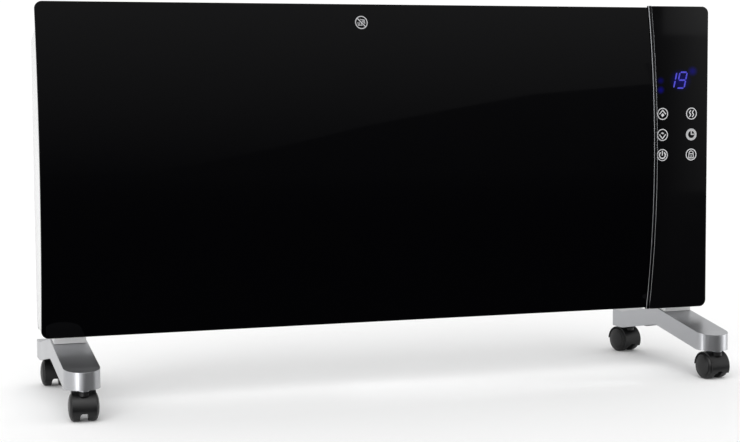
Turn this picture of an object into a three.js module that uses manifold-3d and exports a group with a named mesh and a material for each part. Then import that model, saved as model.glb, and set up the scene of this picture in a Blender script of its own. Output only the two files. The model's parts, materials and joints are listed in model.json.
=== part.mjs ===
// Glass-front panel convector heater on two castor feet.
// Millimetres, +Z up, front towards -Y. Inside the model group X runs from the main glass's left edge,
// Y runs back from the control glass's face and Z runs up from the main glass's lower edge; the group
// is then set down with the middle of its base at the origin.
import * as THREE from 'three';
import { mergeVertices } from 'three/addons/utils/BufferGeometryUtils.js';
import Module from 'manifold-3d';

const wasm = await Module();
wasm.setup();

// ---------- driving dimensions ----------
const GAP = 0.3; // between pieces that touch
const PANEL_WIDTH = 828;
const GLASS_HEIGHT = 372;
const GLASS_THICK = 4;
const BOW = 18; // how far the main glass bulges between its upper and lower edges
const EDGE_SETBACK = 3; // main glass's edges behind the control glass's face
const BOW_RADIUS = (GLASS_HEIGHT ** 2 / 4 + BOW ** 2) / (2 * BOW);
const BOW_CENTRE_Y = EDGE_SETBACK - BOW + BOW_RADIUS;
const MID_Z = GLASS_HEIGHT / 2;
const CORNER = 8.5;

const TRIM_LEFT = 745.6;
const TRIM_RIGHT = 750.2;
const TRIM_PROUD = 1.5;
const TRIM_NIB = 2;
const TRIM_BACK = 6;
const CONTROL_OVERHANG = 1.5; // control glass beyond the main glass, above and below

const SHEET = 1.2;
const CASE_INSET = 2;
const CASE_FRONT = TRIM_BACK + GAP;
const CASE_BACK = 55;
const CASE_BOTTOM = 6;
const CASE_TOP_FRONT = 345;
const CASE_TOP_BACK = 330;
const CASE_CHAMFER = 8;
const CASE_LEFT = CASE_INSET;
const CASE_RIGHT = PANEL_WIDTH - CASE_INSET;
const BACK_INNER = CASE_BACK - SHEET;

const FRAME_BACK = 12;
const RAIL = 8.5;
const PILLAR_RADIUS = 4.5;
const PILLAR_X = [12, PANEL_WIDTH - 12];
const PILLAR_Z = [22, 318];

const DUCT_LEFT = 60; // air openings in the casing
const DUCT_RIGHT = 700;
const OUTLET_Y = [16, 46];
const INLET_Y = [14, 40];
const OUTLET_SLOTS = 57;
const OUTLET_SLOT = 6;
const INLET_SLOTS = 20;
const VENT_COLUMNS = 12;
const VENT_ROWS_Z = [24, 34, 300, 310];
const VENT_LENGTH = 40;
const VENT_HEIGHT = 4;

const SHIELD_Y = 14.7;
const BRACKET_LEFT_X = 70;
const BRACKET_RIGHT_X = 690;
const ELEMENT_Y = 34;
const ELEMENT_Z = { lower: 70, upper: 130 };
const SHEATH_RADIUS = 4.2;
const BUSH_RADIUS = 8;

const SWITCH_X = 787;
const SWITCH_Z = 60;
const SWITCH_PIVOT_Y = 53.5;
const ROCKER_TILT = THREE.MathUtils.degToRad(9);
const SHIELD_THICK = 1;
const SHEATH_PROUD = { left: 20, right: 22 }; // rod ends beyond their brackets
const WING_THICK = 2;
const WING_REACH = 22;
const BAR_CORE_RADIUS = 7;
const CUT_OUT_AT = [380, 212]; // X and Z
const POWER_BOARD_Y = 44;
const POST_RADIUS = 3;
const LAMINATE = 1.6;
const GLAND_X = 735;
const GLAND_Z = 40;

const FOOT_X = { left: 14, right: 780 };
const FOOT_WIDTH = 40;
const FOOT_NOSE = 22; // depth of the rounded nose in plan
const FOOT_FRONT = -84;
const FOOT_REAR = 162;
const FOOT_APEX_Y = 42;
const FOOT_APEX_TOP = -6;
const FOOT_BEND_Y = -64; // where the front arm's top face eases off
const FOOT_BEND_TOP = -23.3;
const FOOT_NOSE_TOP = -25.6;
const FOOT_END_TOP = -23;
const FOOT_THICK = 22;
const FOOT_SEAT = FOOT_END_TOP - FOOT_THICK; // level underside over each castor
const FOOT_LEVEL = 26; // length of the rear seat
const FOOT_SEAT_Y = -62; // rear end of the front seat
const FOOT_WALL = 3.5;
const FOOT_SCREW_Y = { front: 28, rear: 42 };
const SCREW_RADIUS = 2;
const SCREW_HOLE = SCREW_RADIUS + GAP;

const FLOOR_Z = -80;
const STEM_Y = { front: -77, rear: 153 };
const STEM_RADIUS = 4;
const STEM_BORE = 15; // depth of the bore over the seat
const PIN_RADIUS = 3; // stem's lower end, on which the hood swivels
const TRAIL = 9; // axle behind the stem
const WHEEL_RADIUS = 15.5;
const HOOD_RADIUS = 17.8;
const HOOD_INNER = 16.1;
const HOOD_HALF_WIDTH = 13;
const WEB_HALF = 4;
const AXLE_RADIUS = 2;
const AXLE_END = 12;
const WHEEL_END = AXLE_END + 0.3; // bottom of the wheel's blind bore
const DOME = 16.8; // crown of the wheel's domed face
const RUNNING = 0.1; // radial clearance of a running fit
const ROUND = 24; // facets of a running fit
const CASTORS = [ // stem place and how far each one happens to be turned
  { name: 'front_left', foot: 'left', y: STEM_Y.front, turn: -5 },
  { name: 'rear_left', foot: 'left', y: STEM_Y.rear, turn: -2 },
  { name: 'front_right', foot: 'right', y: STEM_Y.front, turn: 9 },
  { name: 'rear_right', foot: 'right', y: STEM_Y.rear, turn: 15 },
];

// ---------- materials ----------
function finish(color, roughness, metalness = 0) {
  return new THREE.MeshStandardMaterial({ color, roughness, metalness });
}
const BLACK_GLASS = finish(0x060607, 0.06);
const DARK_TRIM = finish(0x1a1a1c, 0.25, 0.5);
const WHITE_PAINT = finish(0xe6e6e6, 0.5);
const BLACK_PLASTIC = finish(0x1b1b1c, 0.55);
const SILVER = finish(0xb6b8ba, 0.35, 0.8);
const ALUMINIUM = finish(0xc4c6c8, 0.4, 0.9);
const STEEL = finish(0x9a9c9e, 0.35, 0.9);
const CERAMIC = finish(0xe9e2d2, 0.6);
const BOARD_GREEN = finish(0x1f5a37, 0.6);
const PALE_PLASTIC = finish(0xd8d8d6, 0.5);

// ---------- solids ----------
function signedVolume(geometry) {
  const position = geometry.attributes.position;
  const index = geometry.index;
  const corner = [new THREE.Vector3(), new THREE.Vector3(), new THREE.Vector3()];
  let sum = 0;
  for (let i = 0; i < index.count; i += 3) {
    corner.forEach((point, k) => point.fromBufferAttribute(position, index.getX(i + k)));
    sum += corner[0].dot(corner[1].cross(corner[2]));
  }
  return sum / 6;
}

// A closed surface turned into a solid whose faces point out.
function solid(geometry) {
  const bare = geometry.clone();
  bare.deleteAttribute('normal');
  bare.deleteAttribute('uv');
  const merged = mergeVertices(bare, 1e-4);
  const triVerts = new Uint32Array(merged.index.array);
  if (signedVolume(merged) < 0) {
    for (let i = 0; i < triVerts.length; i += 3) {
      [triVerts[i], triVerts[i + 1]] = [triVerts[i + 1], triVerts[i]];
    }
  }
  const vertProperties = new Float32Array(merged.attributes.position.array);
  return new wasm.Manifold(new wasm.Mesh({ numProp: 3, vertProperties, triVerts }));
}

function piece(name, body, material, parent) {
  const { vertProperties, triVerts } = body.getMesh();
  const geometry = new THREE.BufferGeometry();
  geometry.setAttribute('position', new THREE.BufferAttribute(vertProperties, 3));
  geometry.setIndex(new THREE.BufferAttribute(triVerts, 1));
  geometry.computeVertexNormals();
  const mesh = new THREE.Mesh(geometry, material);
  mesh.name = name;
  parent.add(mesh);
  return mesh;
}

function box([x0, y0, z0], [x1, y1, z1]) {
  const geometry = new THREE.BoxGeometry(x1 - x0, y1 - y0, z1 - z0);
  return solid(geometry.translate((x0 + x1) / 2, (y0 + y1) / 2, (z0 + z1) / 2));
}

// Cylinder along an axis from one coordinate to another; `centre` gives the other two in X, Y, Z order.
function rod(axis, radius, from, to, centre, facets = 20) {
  const geometry = new THREE.CylinderGeometry(radius, radius, to - from, facets);
  const mid = (from + to) / 2;
  if (axis === 'x') {
    geometry.rotateZ(Math.PI / 2);
    geometry.translate(mid, centre[0], centre[1]);
  } else if (axis === 'y') {
    geometry.translate(centre[0], mid, centre[1]);
  } else {
    geometry.rotateX(Math.PI / 2);
    geometry.translate(centre[0], centre[1], mid);
  }
  return solid(geometry);
}

const outline = (points) => new THREE.Shape(points.map(([u, v]) => new THREE.Vector2(u, v)));

function extrude(shape, depth, curveSegments = 6) {
  return new THREE.ExtrudeGeometry(shape, { depth, bevelEnabled: false, curveSegments, steps: 1 });
}

// Shape in (Y, Z), run along X.
function alongX(shape, x0, x1, curveSegments) {
  const turn = new THREE.Matrix4().set(0, 0, 1, x0, 1, 0, 0, 0, 0, 1, 0, 0, 0, 0, 0, 1);
  return solid(extrude(shape, x1 - x0, curveSegments).applyMatrix4(turn));
}

// Shape in (X, Z), run along Y.
function alongY(shape, y0, y1, curveSegments) {
  return solid(extrude(shape, y1 - y0, curveSegments).rotateX(Math.PI / 2).translate(0, y1, 0));
}

// Shape in (X, Y), run along Z.
function alongZ(shape, z0, z1, curveSegments) {
  return solid(extrude(shape, z1 - z0, curveSegments).translate(0, 0, z0));
}

// Turned profile of [radius, height] points about Z.
function turned(profile, facets = ROUND) {
  const points = profile.map(([r, h]) => new THREE.Vector2(r, h));
  return solid(new THREE.LatheGeometry(points, facets).rotateX(Math.PI / 2));
}

// Loop profile with a bore: the first point is repeated so that the section closes.
const turnedRing = (profile, facets) => turned([...profile, profile[0]], facets);

const join = (bodies) => bodies.reduce((whole, body) => whole.add(body));
const cut = (body, tools) => tools.reduce((rest, tool) => rest.subtract(tool), body);

// Rectangle with its chosen corners rounded; they run low-left, low-right, high-right, high-left.
function roundedRect(u0, v0, u1, v1, radii) {
  const [a, b, c, d] = radii;
  const shape = new THREE.Shape();
  shape.moveTo(u0 + a, v0);
  shape.lineTo(u1 - b, v0);
  if (b) shape.absarc(u1 - b, v0 + b, b, -Math.PI / 2, 0, false);
  shape.lineTo(u1, v1 - c);
  if (c) shape.absarc(u1 - c, v1 - c, c, 0, Math.PI / 2, false);
  shape.lineTo(u0 + d, v1);
  if (d) shape.absarc(u0 + d, v1 - d, d, Math.PI / 2, Math.PI, false);
  shape.lineTo(u0, v0 + a);
  if (a) shape.absarc(u0 + a, v0 + a, a, Math.PI, 1.5 * Math.PI, false);
  return shape;
}

// ---------- bowed front ----------
// Points of the bow in (Y, Z) from z0 up to z1, `inward` millimetres behind the glass's face.
function bowPoints(inward, z0, z1, steps = 20) {
  const radius = BOW_RADIUS - inward;
  return Array.from({ length: steps + 1 }, (_, i) => {
    const z = z0 + ((z1 - z0) * i) / steps;
    return [BOW_CENTRE_Y - Math.sqrt(radius ** 2 - (z - MID_Z) ** 2), z];
  });
}

function bowBand(inward, backY, z0, z1) {
  return outline([...bowPoints(inward, z0, z1), [backY, z1], [backY, z0]]);
}

function mainGlass() {
  const section = [...bowPoints(0, 0, GLASS_HEIGHT), ...bowPoints(GLASS_THICK, 0, GLASS_HEIGHT).reverse()];
  const right = TRIM_LEFT - GAP;
  const plate = alongX(outline(section), 0, right);
  const face = roundedRect(0, 0, right, GLASS_HEIGHT, [CORNER, 0, 0, CORNER]);
  return plate.intersect(alongY(face, -2 * BOW, 2 * BOW));
}

function controlGlass() {
  const low = -CONTROL_OVERHANG;
  const high = GLASS_HEIGHT + CONTROL_OVERHANG;
  const face = roundedRect(TRIM_RIGHT + GAP, low, PANEL_WIDTH, high, [0, CORNER, CORNER, 0]);
  return alongY(face, 0, GLASS_THICK);
}

function dividerTrim() {
  const band = bowBand(-TRIM_PROUD, TRIM_BACK, -TRIM_NIB, GLASS_HEIGHT + TRIM_NIB);
  return alongX(band, TRIM_LEFT, TRIM_RIGHT);
}

function frontFrame() {
  const low = CASE_BOTTOM + SHEET + GAP;
  const high = CASE_TOP_FRONT - SHEET - 4;
  const left = CASE_LEFT + SHEET + GAP;
  const right = CASE_RIGHT - SHEET - GAP;
  const behind = GLASS_THICK + GAP;
  const bowed = alongX(bowBand(behind, FRAME_BACK, low, high), left, TRIM_LEFT - GAP);
  const bridge = box([TRIM_LEFT - 2, CASE_FRONT, low], [TRIM_RIGHT + 2, FRAME_BACK, high]);
  const flat = box([TRIM_RIGHT + GAP, behind, low], [right, FRAME_BACK, high]);
  const windows = [
    box([left + RAIL, -3 * BOW, low + RAIL], [TRIM_LEFT - RAIL, 3 * BOW, high - RAIL]),
    box([TRIM_RIGHT + RAIL + 2, -3 * BOW, low + RAIL], [right - RAIL, 3 * BOW, high - RAIL]),
  ];
  const places = PILLAR_X.flatMap((x) => PILLAR_Z.map((z) => [x, z]));
  const pillars = places.map((at) => rod('y', PILLAR_RADIUS, FRAME_BACK - 1, BACK_INNER - GAP, at));
  const bores = places.map((at) => rod('y', SCREW_HOLE, BACK_INNER - 20, CASE_BACK, at, 12));
  return cut(join([cut(join([bowed, bridge, flat]), windows), ...pillars]), bores);
}

// ---------- casing and grilles ----------
function trayShape(inset) {
  const bottom = CASE_BOTTOM + inset;
  const back = CASE_BACK - inset;
  const front = CASE_FRONT - inset;
  const chamfer = CASE_CHAMFER - inset * 0.6;
  return outline([
    [front, bottom],
    [back - chamfer, bottom],
    [back, bottom + chamfer],
    [back, CASE_TOP_BACK - inset],
    [front, CASE_TOP_FRONT - inset],
  ]);
}

function ventSlots() {
  const pitch = (DUCT_RIGHT - DUCT_LEFT) / VENT_COLUMNS;
  return VENT_ROWS_Z.flatMap((z) =>
    Array.from({ length: VENT_COLUMNS }, (_, i) => {
      const x = DUCT_LEFT + (i + 0.5) * pitch - VENT_LENGTH / 2;
      return box([x, BACK_INNER - 1, z], [x + VENT_LENGTH, CASE_BACK + 1, z + VENT_HEIGHT]);
    }),
  );
}

function rearCasing() {
  const shell = alongX(trayShape(0), CASE_LEFT, CASE_RIGHT);
  const hollow = alongX(trayShape(SHEET), CASE_LEFT + SHEET, CASE_RIGHT - SHEET);
  const behind = GLASS_THICK + GAP;
  const reach = CASE_FRONT + 2;
  const cheekTop = CASE_TOP_FRONT - 1;
  const bowed = bowBand(behind, reach, CASE_BOTTOM, cheekTop);
  const leftCheek = alongX(bowed, CASE_LEFT, CASE_LEFT + SHEET);
  const rightCheek = box([CASE_RIGHT - SHEET, behind, CASE_BOTTOM], [CASE_RIGHT, reach, cheekTop]);
  const footHoles = Object.values(FOOT_X).flatMap((x) =>
    Object.values(FOOT_SCREW_Y).map((y) => rod('z', SCREW_HOLE, 0, 12, [x + FOOT_WIDTH / 2, y], 12)),
  );
  const screwHoles = PILLAR_X.flatMap((x) =>
    PILLAR_Z.map((z) => rod('y', SCREW_HOLE, BACK_INNER - 1, CASE_BACK + 1, [x, z], 12)),
  );
  return cut(join([cut(shell, [hollow]), leftCheek, rightCheek]), [
    box([DUCT_LEFT, OUTLET_Y[0], 300], [DUCT_RIGHT, OUTLET_Y[1], 360]),
    box([DUCT_LEFT, INLET_Y[0], 0], [DUCT_RIGHT, INLET_Y[1], 12]),
    box([SWITCH_X - 7.5, 50, SWITCH_Z - 11], [SWITCH_X + 7.5, 60, SWITCH_Z + 11]),
    rod('y', 6 + GAP, 50, 60, [GLAND_X, GLAND_Z]),
    ...ventSlots(),
    ...footHoles,
    ...screwHoles,
  ]);
}

// Slotted plate under the casing's sloped top.
function outletGrille() {
  const slope = (CASE_TOP_FRONT - CASE_TOP_BACK) / (CASE_BACK - CASE_FRONT);
  const under = (y) => CASE_TOP_FRONT - (y - CASE_FRONT) * slope - SHEET - 2 * GAP;
  const [y0, y1] = [OUTLET_Y[0] - 2, OUTLET_Y[1] + 4];
  const plate = alongX(
    outline([[y0, under(y0) - SHEET], [y1, under(y1) - SHEET], [y1, under(y1)], [y0, under(y0)]]),
    DUCT_LEFT - 6,
    DUCT_RIGHT + 6,
  );
  const pitch = (DUCT_RIGHT - DUCT_LEFT - 8) / OUTLET_SLOTS;
  const slots = Array.from({ length: OUTLET_SLOTS }, (_, i) => {
    const x = DUCT_LEFT + 4 + (i + 0.5) * pitch - OUTLET_SLOT / 2;
    return box([x, OUTLET_Y[0] + 3, 300], [x + OUTLET_SLOT, OUTLET_Y[1] - 3, 360]);
  });
  return cut(plate, slots);
}

function inletGrille() {
  const low = CASE_BOTTOM + SHEET + GAP;
  const plate = box([DUCT_LEFT - 6, INLET_Y[0] - 1, low], [DUCT_RIGHT + 6, INLET_Y[1] + 4, low + SHEET]);
  const pitch = (DUCT_RIGHT - DUCT_LEFT - 8) / INLET_SLOTS;
  const slots = [INLET_Y[0] + 4, INLET_Y[0] + 14].flatMap((y) =>
    Array.from({ length: INLET_SLOTS }, (_, i) => {
      const x = DUCT_LEFT + 4 + i * pitch + 2;
      return box([x, y, 0], [x + pitch - 4, y + 6, 20]);
    }),
  );
  return cut(plate, slots);
}

function casingScrew() {
  const head = rod('y', 4, CASE_BACK + GAP, CASE_BACK + GAP + 2.4, [0, 0], 12);
  return head.add(rod('y', SCREW_RADIUS, BACK_INNER - 14, CASE_BACK + 1, [0, 0], 8));
}

// ---------- heating parts ----------
const heatShield = () => box([66, SHIELD_Y, 26], [706, SHIELD_Y + SHIELD_THICK, 322]);

// X-section heating bar: four wings round a bored core, lying along X.
function heatingBar(z) {
  const half = WING_THICK / 2;
  const wing = outline([[-half, 0], [half, 0], [half, WING_REACH], [-half, WING_REACH]]);
  const [x0, x1] = [BRACKET_LEFT_X + 20, BRACKET_RIGHT_X - 20];
  const wings = [45, 135, 225, 315].map((angle) => alongX(wing, x0, x1).rotate([angle, 0, 0]));
  const core = rod('x', BAR_CORE_RADIUS, x0, x1, [0, 0]);
  const bore = rod('x', SHEATH_RADIUS + GAP, x0 - 1, x1 + 1, [0, 0]);
  return cut(join([core, ...wings]), [bore]).translate([0, ELEMENT_Y, z]);
}

function sheathedRod(z) {
  const [x0, x1] = [BRACKET_LEFT_X - SHEATH_PROUD.left, BRACKET_RIGHT_X + SHEATH_PROUD.right];
  return rod('x', SHEATH_RADIUS, x0, x1, [ELEMENT_Y, z], 12);
}

// Z-shaped end bracket; `side` is 1 when its flanges point to +X.
function elementBracket(x, side) {
  const [front, back] = [SHIELD_Y + SHIELD_THICK + GAP, BACK_INNER - GAP];
  const [low, high] = [ELEMENT_Z.lower - 40, ELEMENT_Z.upper + 45];
  const flange = side > 0 ? [x + 1, x + 12] : [x - 12, x - 1];
  const plate = box([x - SHEET, front, low], [x + SHEET, back, high]);
  const holes = Object.values(ELEMENT_Z).map((z) =>
    rod('x', BUSH_RADIUS + GAP, x - 5, x + 5, [ELEMENT_Y, z]),
  );
  return cut(
    join([
      plate,
      box([flange[0], front, low], [flange[1], front + SHEET, high]),
      box([flange[0], back - SHEET, low], [flange[1], back, high]),
    ]),
    holes,
  );
}

// Flanged ceramic bush, its axis along X and its flange on the `side` of the bracket.
function ceramicBush(x, z, side) {
  const ring = [
    [SHEATH_RADIUS + GAP, -6],
    [BUSH_RADIUS, -6],
    [BUSH_RADIUS, SHEET + GAP],
    [11, SHEET + GAP],
    [11, 6],
    [SHEATH_RADIUS + GAP, 6],
  ];
  return turnedRing(ring, 12).rotate([0, side * 90, 0]).translate([x, ELEMENT_Y, z]);
}

function thermalCutOut() {
  const front = SHIELD_Y + SHIELD_THICK + GAP;
  const [x, z] = CUT_OUT_AT;
  const tab = box([x - 20, front, z - 6], [x + 20, front + SHEET, z + 6]);
  return tab.add(rod('y', 8, front + 0.5, front + 8, CUT_OUT_AT));
}

// ---------- electrics ----------
function powerBoard() {
  const board = box([758, POWER_BOARD_Y, 90], [816, POWER_BOARD_Y + LAMINATE, 230]);
  const soldered = POWER_BOARD_Y + 0.5; // where each part's body ends, inside the laminate
  const corners = [[763, 96], [811, 96], [763, 224], [811, 224]];
  const posts = corners.map((at) => rod('y', POST_RADIUS, POWER_BOARD_Y + 1, BACK_INNER - GAP, at, 10));
  const parts = [
    box([764, 28, 104], [783, soldered, 119]),
    box([790, 28, 104], [809, soldered, 119]),
    box([768, 26, 140], [802, soldered, 168]),
    rod('y', 6, 24, soldered, [772, 190]),
    rod('y', 6, 24, soldered, [790, 190]),
    box([762, 34, 206], [812, soldered, 214]),
  ];
  return join([board, ...posts, ...parts]);
}

function touchBoard() {
  const back = 8.1;
  const board = box([765, back, 150], [812, back + LAMINATE, 325]);
  return board.add(box([772, back + 1, 200], [806, back + 6, 216]));
}

const displayModule = () => box([775, GLASS_THICK + GAP, 266], [805, 7.8, 299]);

function terminalBlock() {
  const block = box([722, 38, 72], [748, BACK_INNER - GAP, 96]);
  const wells = [727, 735, 743].map((x) => rod('y', 2.4, 37, 46, [x, 84], 10));
  return cut(block, wells);
}

function roomSensor() {
  const floor = CASE_BOTTOM + SHEET + GAP;
  const clip = box([728, 26, floor], [736, 34, floor + 5]);
  return clip.add(rod('x', 2.5, 724, 746, [30, floor + 6], 12));
}

function tipSwitch() {
  const floor = CASE_BOTTOM + SHEET + GAP;
  const tabs = box([752, 24, floor], [790, 40, floor + 2]);
  return tabs.add(box([758, 20, floor], [784, 44, floor + 28]));
}

function switchBody() {
  const wall = 7.2;
  const bezel = box([-9, CASE_BACK + GAP, -12.5], [9, CASE_BACK + 2.1, 12.5]);
  const body = box([-wall, 36, -10.7], [wall, CASE_BACK + 1, 10.7]);
  const cavity = box([-5.2, SWITCH_PIVOT_Y - 3.4, -9], [5.2, CASE_BACK + 4, 9]);
  const sockets = rod('x', 1.5 + RUNNING, -6.6, 6.6, [SWITCH_PIVOT_Y, 0], ROUND);
  return cut(bezel.add(body), [cavity, sockets]).translate([SWITCH_X, 0, SWITCH_Z]);
}

// V-faced rocker on stub pins, resting in its off position.
function switchRocker() {
  const face = outline([[0, -7.9], [5.6, -7.6], [3, 0], [5.6, 7.6], [0, 7.9]]);
  const pins = rod('x', 1.5, -6.2, 6.2, [0, 0], ROUND);
  const rocker = alongX(face, -4.8, 4.8).add(pins);
  const tilt = THREE.MathUtils.radToDeg(ROCKER_TILT);
  return rocker.rotate([-tilt, 0, 0]).translate([SWITCH_X, SWITCH_PIVOT_Y, SWITCH_Z]);
}

function cordGland() {
  const ring = [[4, -10], [6, -10], [6, GAP], [9, GAP], [9, 3], [7, 5], [4, 5]];
  return turnedRing(ring, 24).rotate([-90, 0, 0]).translate([GLAND_X, CASE_BACK, GLAND_Z]);
}

// ---------- feet ----------
// A foot's top face as [y, z] points, from the rear forward.
const FOOT_TOP = [
  [FOOT_REAR + 1, FOOT_END_TOP],
  [FOOT_REAR - FOOT_LEVEL, FOOT_END_TOP],
  [FOOT_APEX_Y + 8, FOOT_APEX_TOP - 1.4],
  [FOOT_APEX_Y, FOOT_APEX_TOP - 0.4],
  [FOOT_APEX_Y - 8, FOOT_APEX_TOP - 1.4],
  [FOOT_BEND_Y, FOOT_BEND_TOP],
  [FOOT_FRONT - 1, FOOT_NOSE_TOP],
];
// Its underside, from the front back: the same arch, with a level seat over each castor.
const FOOT_UNDER = [
  [FOOT_FRONT - 1, FOOT_SEAT],
  [FOOT_SEAT_Y, FOOT_SEAT],
  ...FOOT_TOP.slice(0, 5).map(([y, z]) => [y, z - FOOT_THICK]).reverse(),
];

// Side outline of a foot, or of the space `drop` below its top face and open down to `low`.
function footSide(drop = 0, low = undefined) {
  const top = FOOT_TOP.map(([y, z]) => [y, z - drop]);
  const bottom = drop ? [[FOOT_FRONT - 1, low], [FOOT_REAR + 1, low]] : FOOT_UNDER;
  return outline([...top, ...bottom]);
}

// Plan outline: square at the rear, half an ellipse at the nose.
function footPlan(inset) {
  const half = FOOT_WIDTH / 2 - inset;
  const shape = new THREE.Shape();
  shape.moveTo(half, FOOT_REAR - inset);
  shape.lineTo(-half, FOOT_REAR - inset);
  shape.lineTo(-half, FOOT_FRONT + FOOT_NOSE);
  shape.absellipse(0, FOOT_FRONT + FOOT_NOSE, half, FOOT_NOSE - inset, Math.PI, 2 * Math.PI, false);
  return shape;
}

function foot() {
  const shell = alongX(footSide(), -FOOT_WIDTH, FOOT_WIDTH).intersect(alongZ(footPlan(0), -60, 0, 8));
  const pocket = alongX(footSide(FOOT_WALL, -60), -FOOT_WIDTH, FOOT_WIDTH).intersect(
    alongZ(footPlan(FOOT_WALL), -70, 0, 5),
  );
  const stemY = Object.values(STEM_Y);
  const bosses = join(stemY.map((y) => rod('z', 8, FOOT_SEAT, FOOT_NOSE_TOP - 1, [0, y]))).intersect(shell);
  const bore = [FOOT_SEAT - 1, FOOT_SEAT + STEM_BORE];
  const stemBores = stemY.map((y) => rod('z', STEM_RADIUS + GAP, ...bore, [0, y]));
  const screwHoles = Object.values(FOOT_SCREW_Y).map((y) => rod('z', SCREW_HOLE, -40, 0, [0, y], 12));
  return cut(join([cut(shell, [pocket]), bosses]), [...stemBores, ...screwHoles]);
}

function footPad() {
  const slope = (FOOT_APEX_TOP - FOOT_BEND_TOP) / (FOOT_APEX_Y - FOOT_BEND_Y);
  const onFoot = (y) => FOOT_APEX_TOP - Math.abs(y - FOOT_APEX_Y) * slope + GAP;
  const top = CASE_BOTTOM - GAP;
  const [front, rear] = [21, 46];
  const seat = [front, FOOT_APEX_Y, rear].map((y) => [y, onFoot(y)]);
  const side = outline([...seat, [rear, top], [front, top]]);
  const half = FOOT_WIDTH / 2 - 2;
  const holes = Object.values(FOOT_SCREW_Y).map((y) => rod('z', SCREW_HOLE, -40, 20, [0, y], 12));
  return cut(alongX(side, -half, half), holes);
}

function footScrew() {
  const head = rod('z', 4, -16, -13.2, [0, 0], 12);
  return head.add(rod('z', SCREW_RADIUS, -14, 12, [0, 0], 8));
}

// ---------- castors: the stem's axis is at the origin, the floor at zero ----------
const AXLE_AT = [TRAIL, WHEEL_RADIUS]; // Y and Z of the axle

function castorStem() {
  const hoodTop = WHEEL_RADIUS + HOOD_RADIUS;
  const seat = FOOT_SEAT - FLOOR_Z;
  return turned([
    [0, 21],
    [PIN_RADIUS, 21],
    [PIN_RADIUS, hoodTop + GAP],
    [6, hoodTop + GAP],
    [6, seat - GAP],
    [STEM_RADIUS, seat - GAP],
    [STEM_RADIUS, seat + STEM_BORE - 1],
    [0, seat + STEM_BORE - 1],
  ]);
}

// Sector of a disc about the axle, in (Y, Z), between two angles.
function sector(radius, from, to, steps = 15) {
  const rim = Array.from({ length: steps + 1 }, (_, i) => {
    const angle = THREE.MathUtils.degToRad(from + ((to - from) * i) / steps);
    return [AXLE_AT[0] + radius * Math.cos(angle), AXLE_AT[1] + radius * Math.sin(angle)];
  });
  return outline([...rim, AXLE_AT]);
}

// Fender over both wheels, the web between them and the boss that the stem runs in.
function castorHood() {
  const [rearEdge, frontEdge] = [3, 207];
  const clear = rod('x', HOOD_INNER, -20, 20, AXLE_AT, 32);
  const slice = sector(HOOD_RADIUS, rearEdge, frontEdge);
  const fender = cut(alongX(slice, -HOOD_HALF_WIDTH, HOOD_HALF_WIDTH), [clear]);
  const boss = cut(rod('z', 6.5, 20, AXLE_AT[1] + HOOD_RADIUS - GAP, [0, 0], 16), [clear]);
  const web = alongX(sector(HOOD_RADIUS - 0.5, rearEdge, frontEdge), -WEB_HALF, WEB_HALF);
  const hub = rod('x', 5.5, -WEB_HALF, WEB_HALF, AXLE_AT, 16);
  return cut(join([fender, boss, web, hub]), [
    rod('z', PIN_RADIUS + RUNNING, 20.5, 40, [0, 0], ROUND),
    rod('x', AXLE_RADIUS + GAP, -10, 10, AXLE_AT, 12),
  ]);
}

const castorAxle = () => rod('x', AXLE_RADIUS, -AXLE_END, AXLE_END, AXLE_AT, ROUND);

// Domed wheel, bored from its inner side; `side` is -1 for the one at -X.
function castorWheel(side) {
  const bore = AXLE_RADIUS + RUNNING;
  const inner = WEB_HALF + GAP;
  const wheel = turned([
    [0, WHEEL_END],
    [0, DOME],
    [8, DOME - 0.5],
    [13.3, DOME - 2.2],
    [WHEEL_RADIUS, DOME - 5.4],
    [WHEEL_RADIUS, inner],
    [bore, inner],
    [bore, WHEEL_END],
    [0, WHEEL_END],
  ]);
  return wheel.rotate([0, side * 90, 0]).translate([0, ...AXLE_AT]);
}

// ---------- assembly ----------
const model = new THREE.Group();

piece('main_glass', mainGlass(), BLACK_GLASS, model);
piece('control_glass', controlGlass(), BLACK_GLASS, model);
piece('divider_trim', dividerTrim(), DARK_TRIM, model);
piece('front_frame', frontFrame(), BLACK_PLASTIC, model);
piece('rear_casing', rearCasing(), WHITE_PAINT, model);
piece('outlet_grille', outletGrille(), BLACK_PLASTIC, model);
piece('inlet_grille', inletGrille(), BLACK_PLASTIC, model);

piece('heat_shield', heatShield(), ALUMINIUM, model);
for (const [side, x, facing] of [['left', BRACKET_LEFT_X, 1], ['right', BRACKET_RIGHT_X, -1]]) {
  piece(`element_bracket_${side}`, elementBracket(x, facing), STEEL, model);
  for (const [level, z] of Object.entries(ELEMENT_Z)) {
    piece(`ceramic_bush_${level}_${side}`, ceramicBush(x, z, facing), CERAMIC, model);
  }
}
for (const [level, z] of Object.entries(ELEMENT_Z)) {
  piece(`heating_bar_${level}`, heatingBar(z), ALUMINIUM, model);
  piece(`heating_rod_${level}`, sheathedRod(z), STEEL, model);
}
piece('thermal_cut_out', thermalCutOut(), STEEL, model);

piece('power_board', powerBoard(), BOARD_GREEN, model);
piece('touch_board', touchBoard(), BOARD_GREEN, model);
piece('display_module', displayModule(), BLACK_PLASTIC, model);
piece('terminal_block', terminalBlock(), PALE_PLASTIC, model);
piece('room_sensor', roomSensor(), BLACK_PLASTIC, model);
piece('tip_switch', tipSwitch(), PALE_PLASTIC, model);
piece('switch_body', switchBody(), BLACK_PLASTIC, model);
piece('switch_rocker', switchRocker(), BLACK_PLASTIC, model);
piece('cord_gland', cordGland(), BLACK_PLASTIC, model);

for (const [side, x] of [['left', PILLAR_X[0]], ['right', PILLAR_X[1]]]) {
  for (const [level, z] of [['lower', PILLAR_Z[0]], ['upper', PILLAR_Z[1]]]) {
    piece(`casing_screw_${level}_${side}`, casingScrew(), STEEL, model).position.set(x, 0, z);
  }
}

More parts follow.
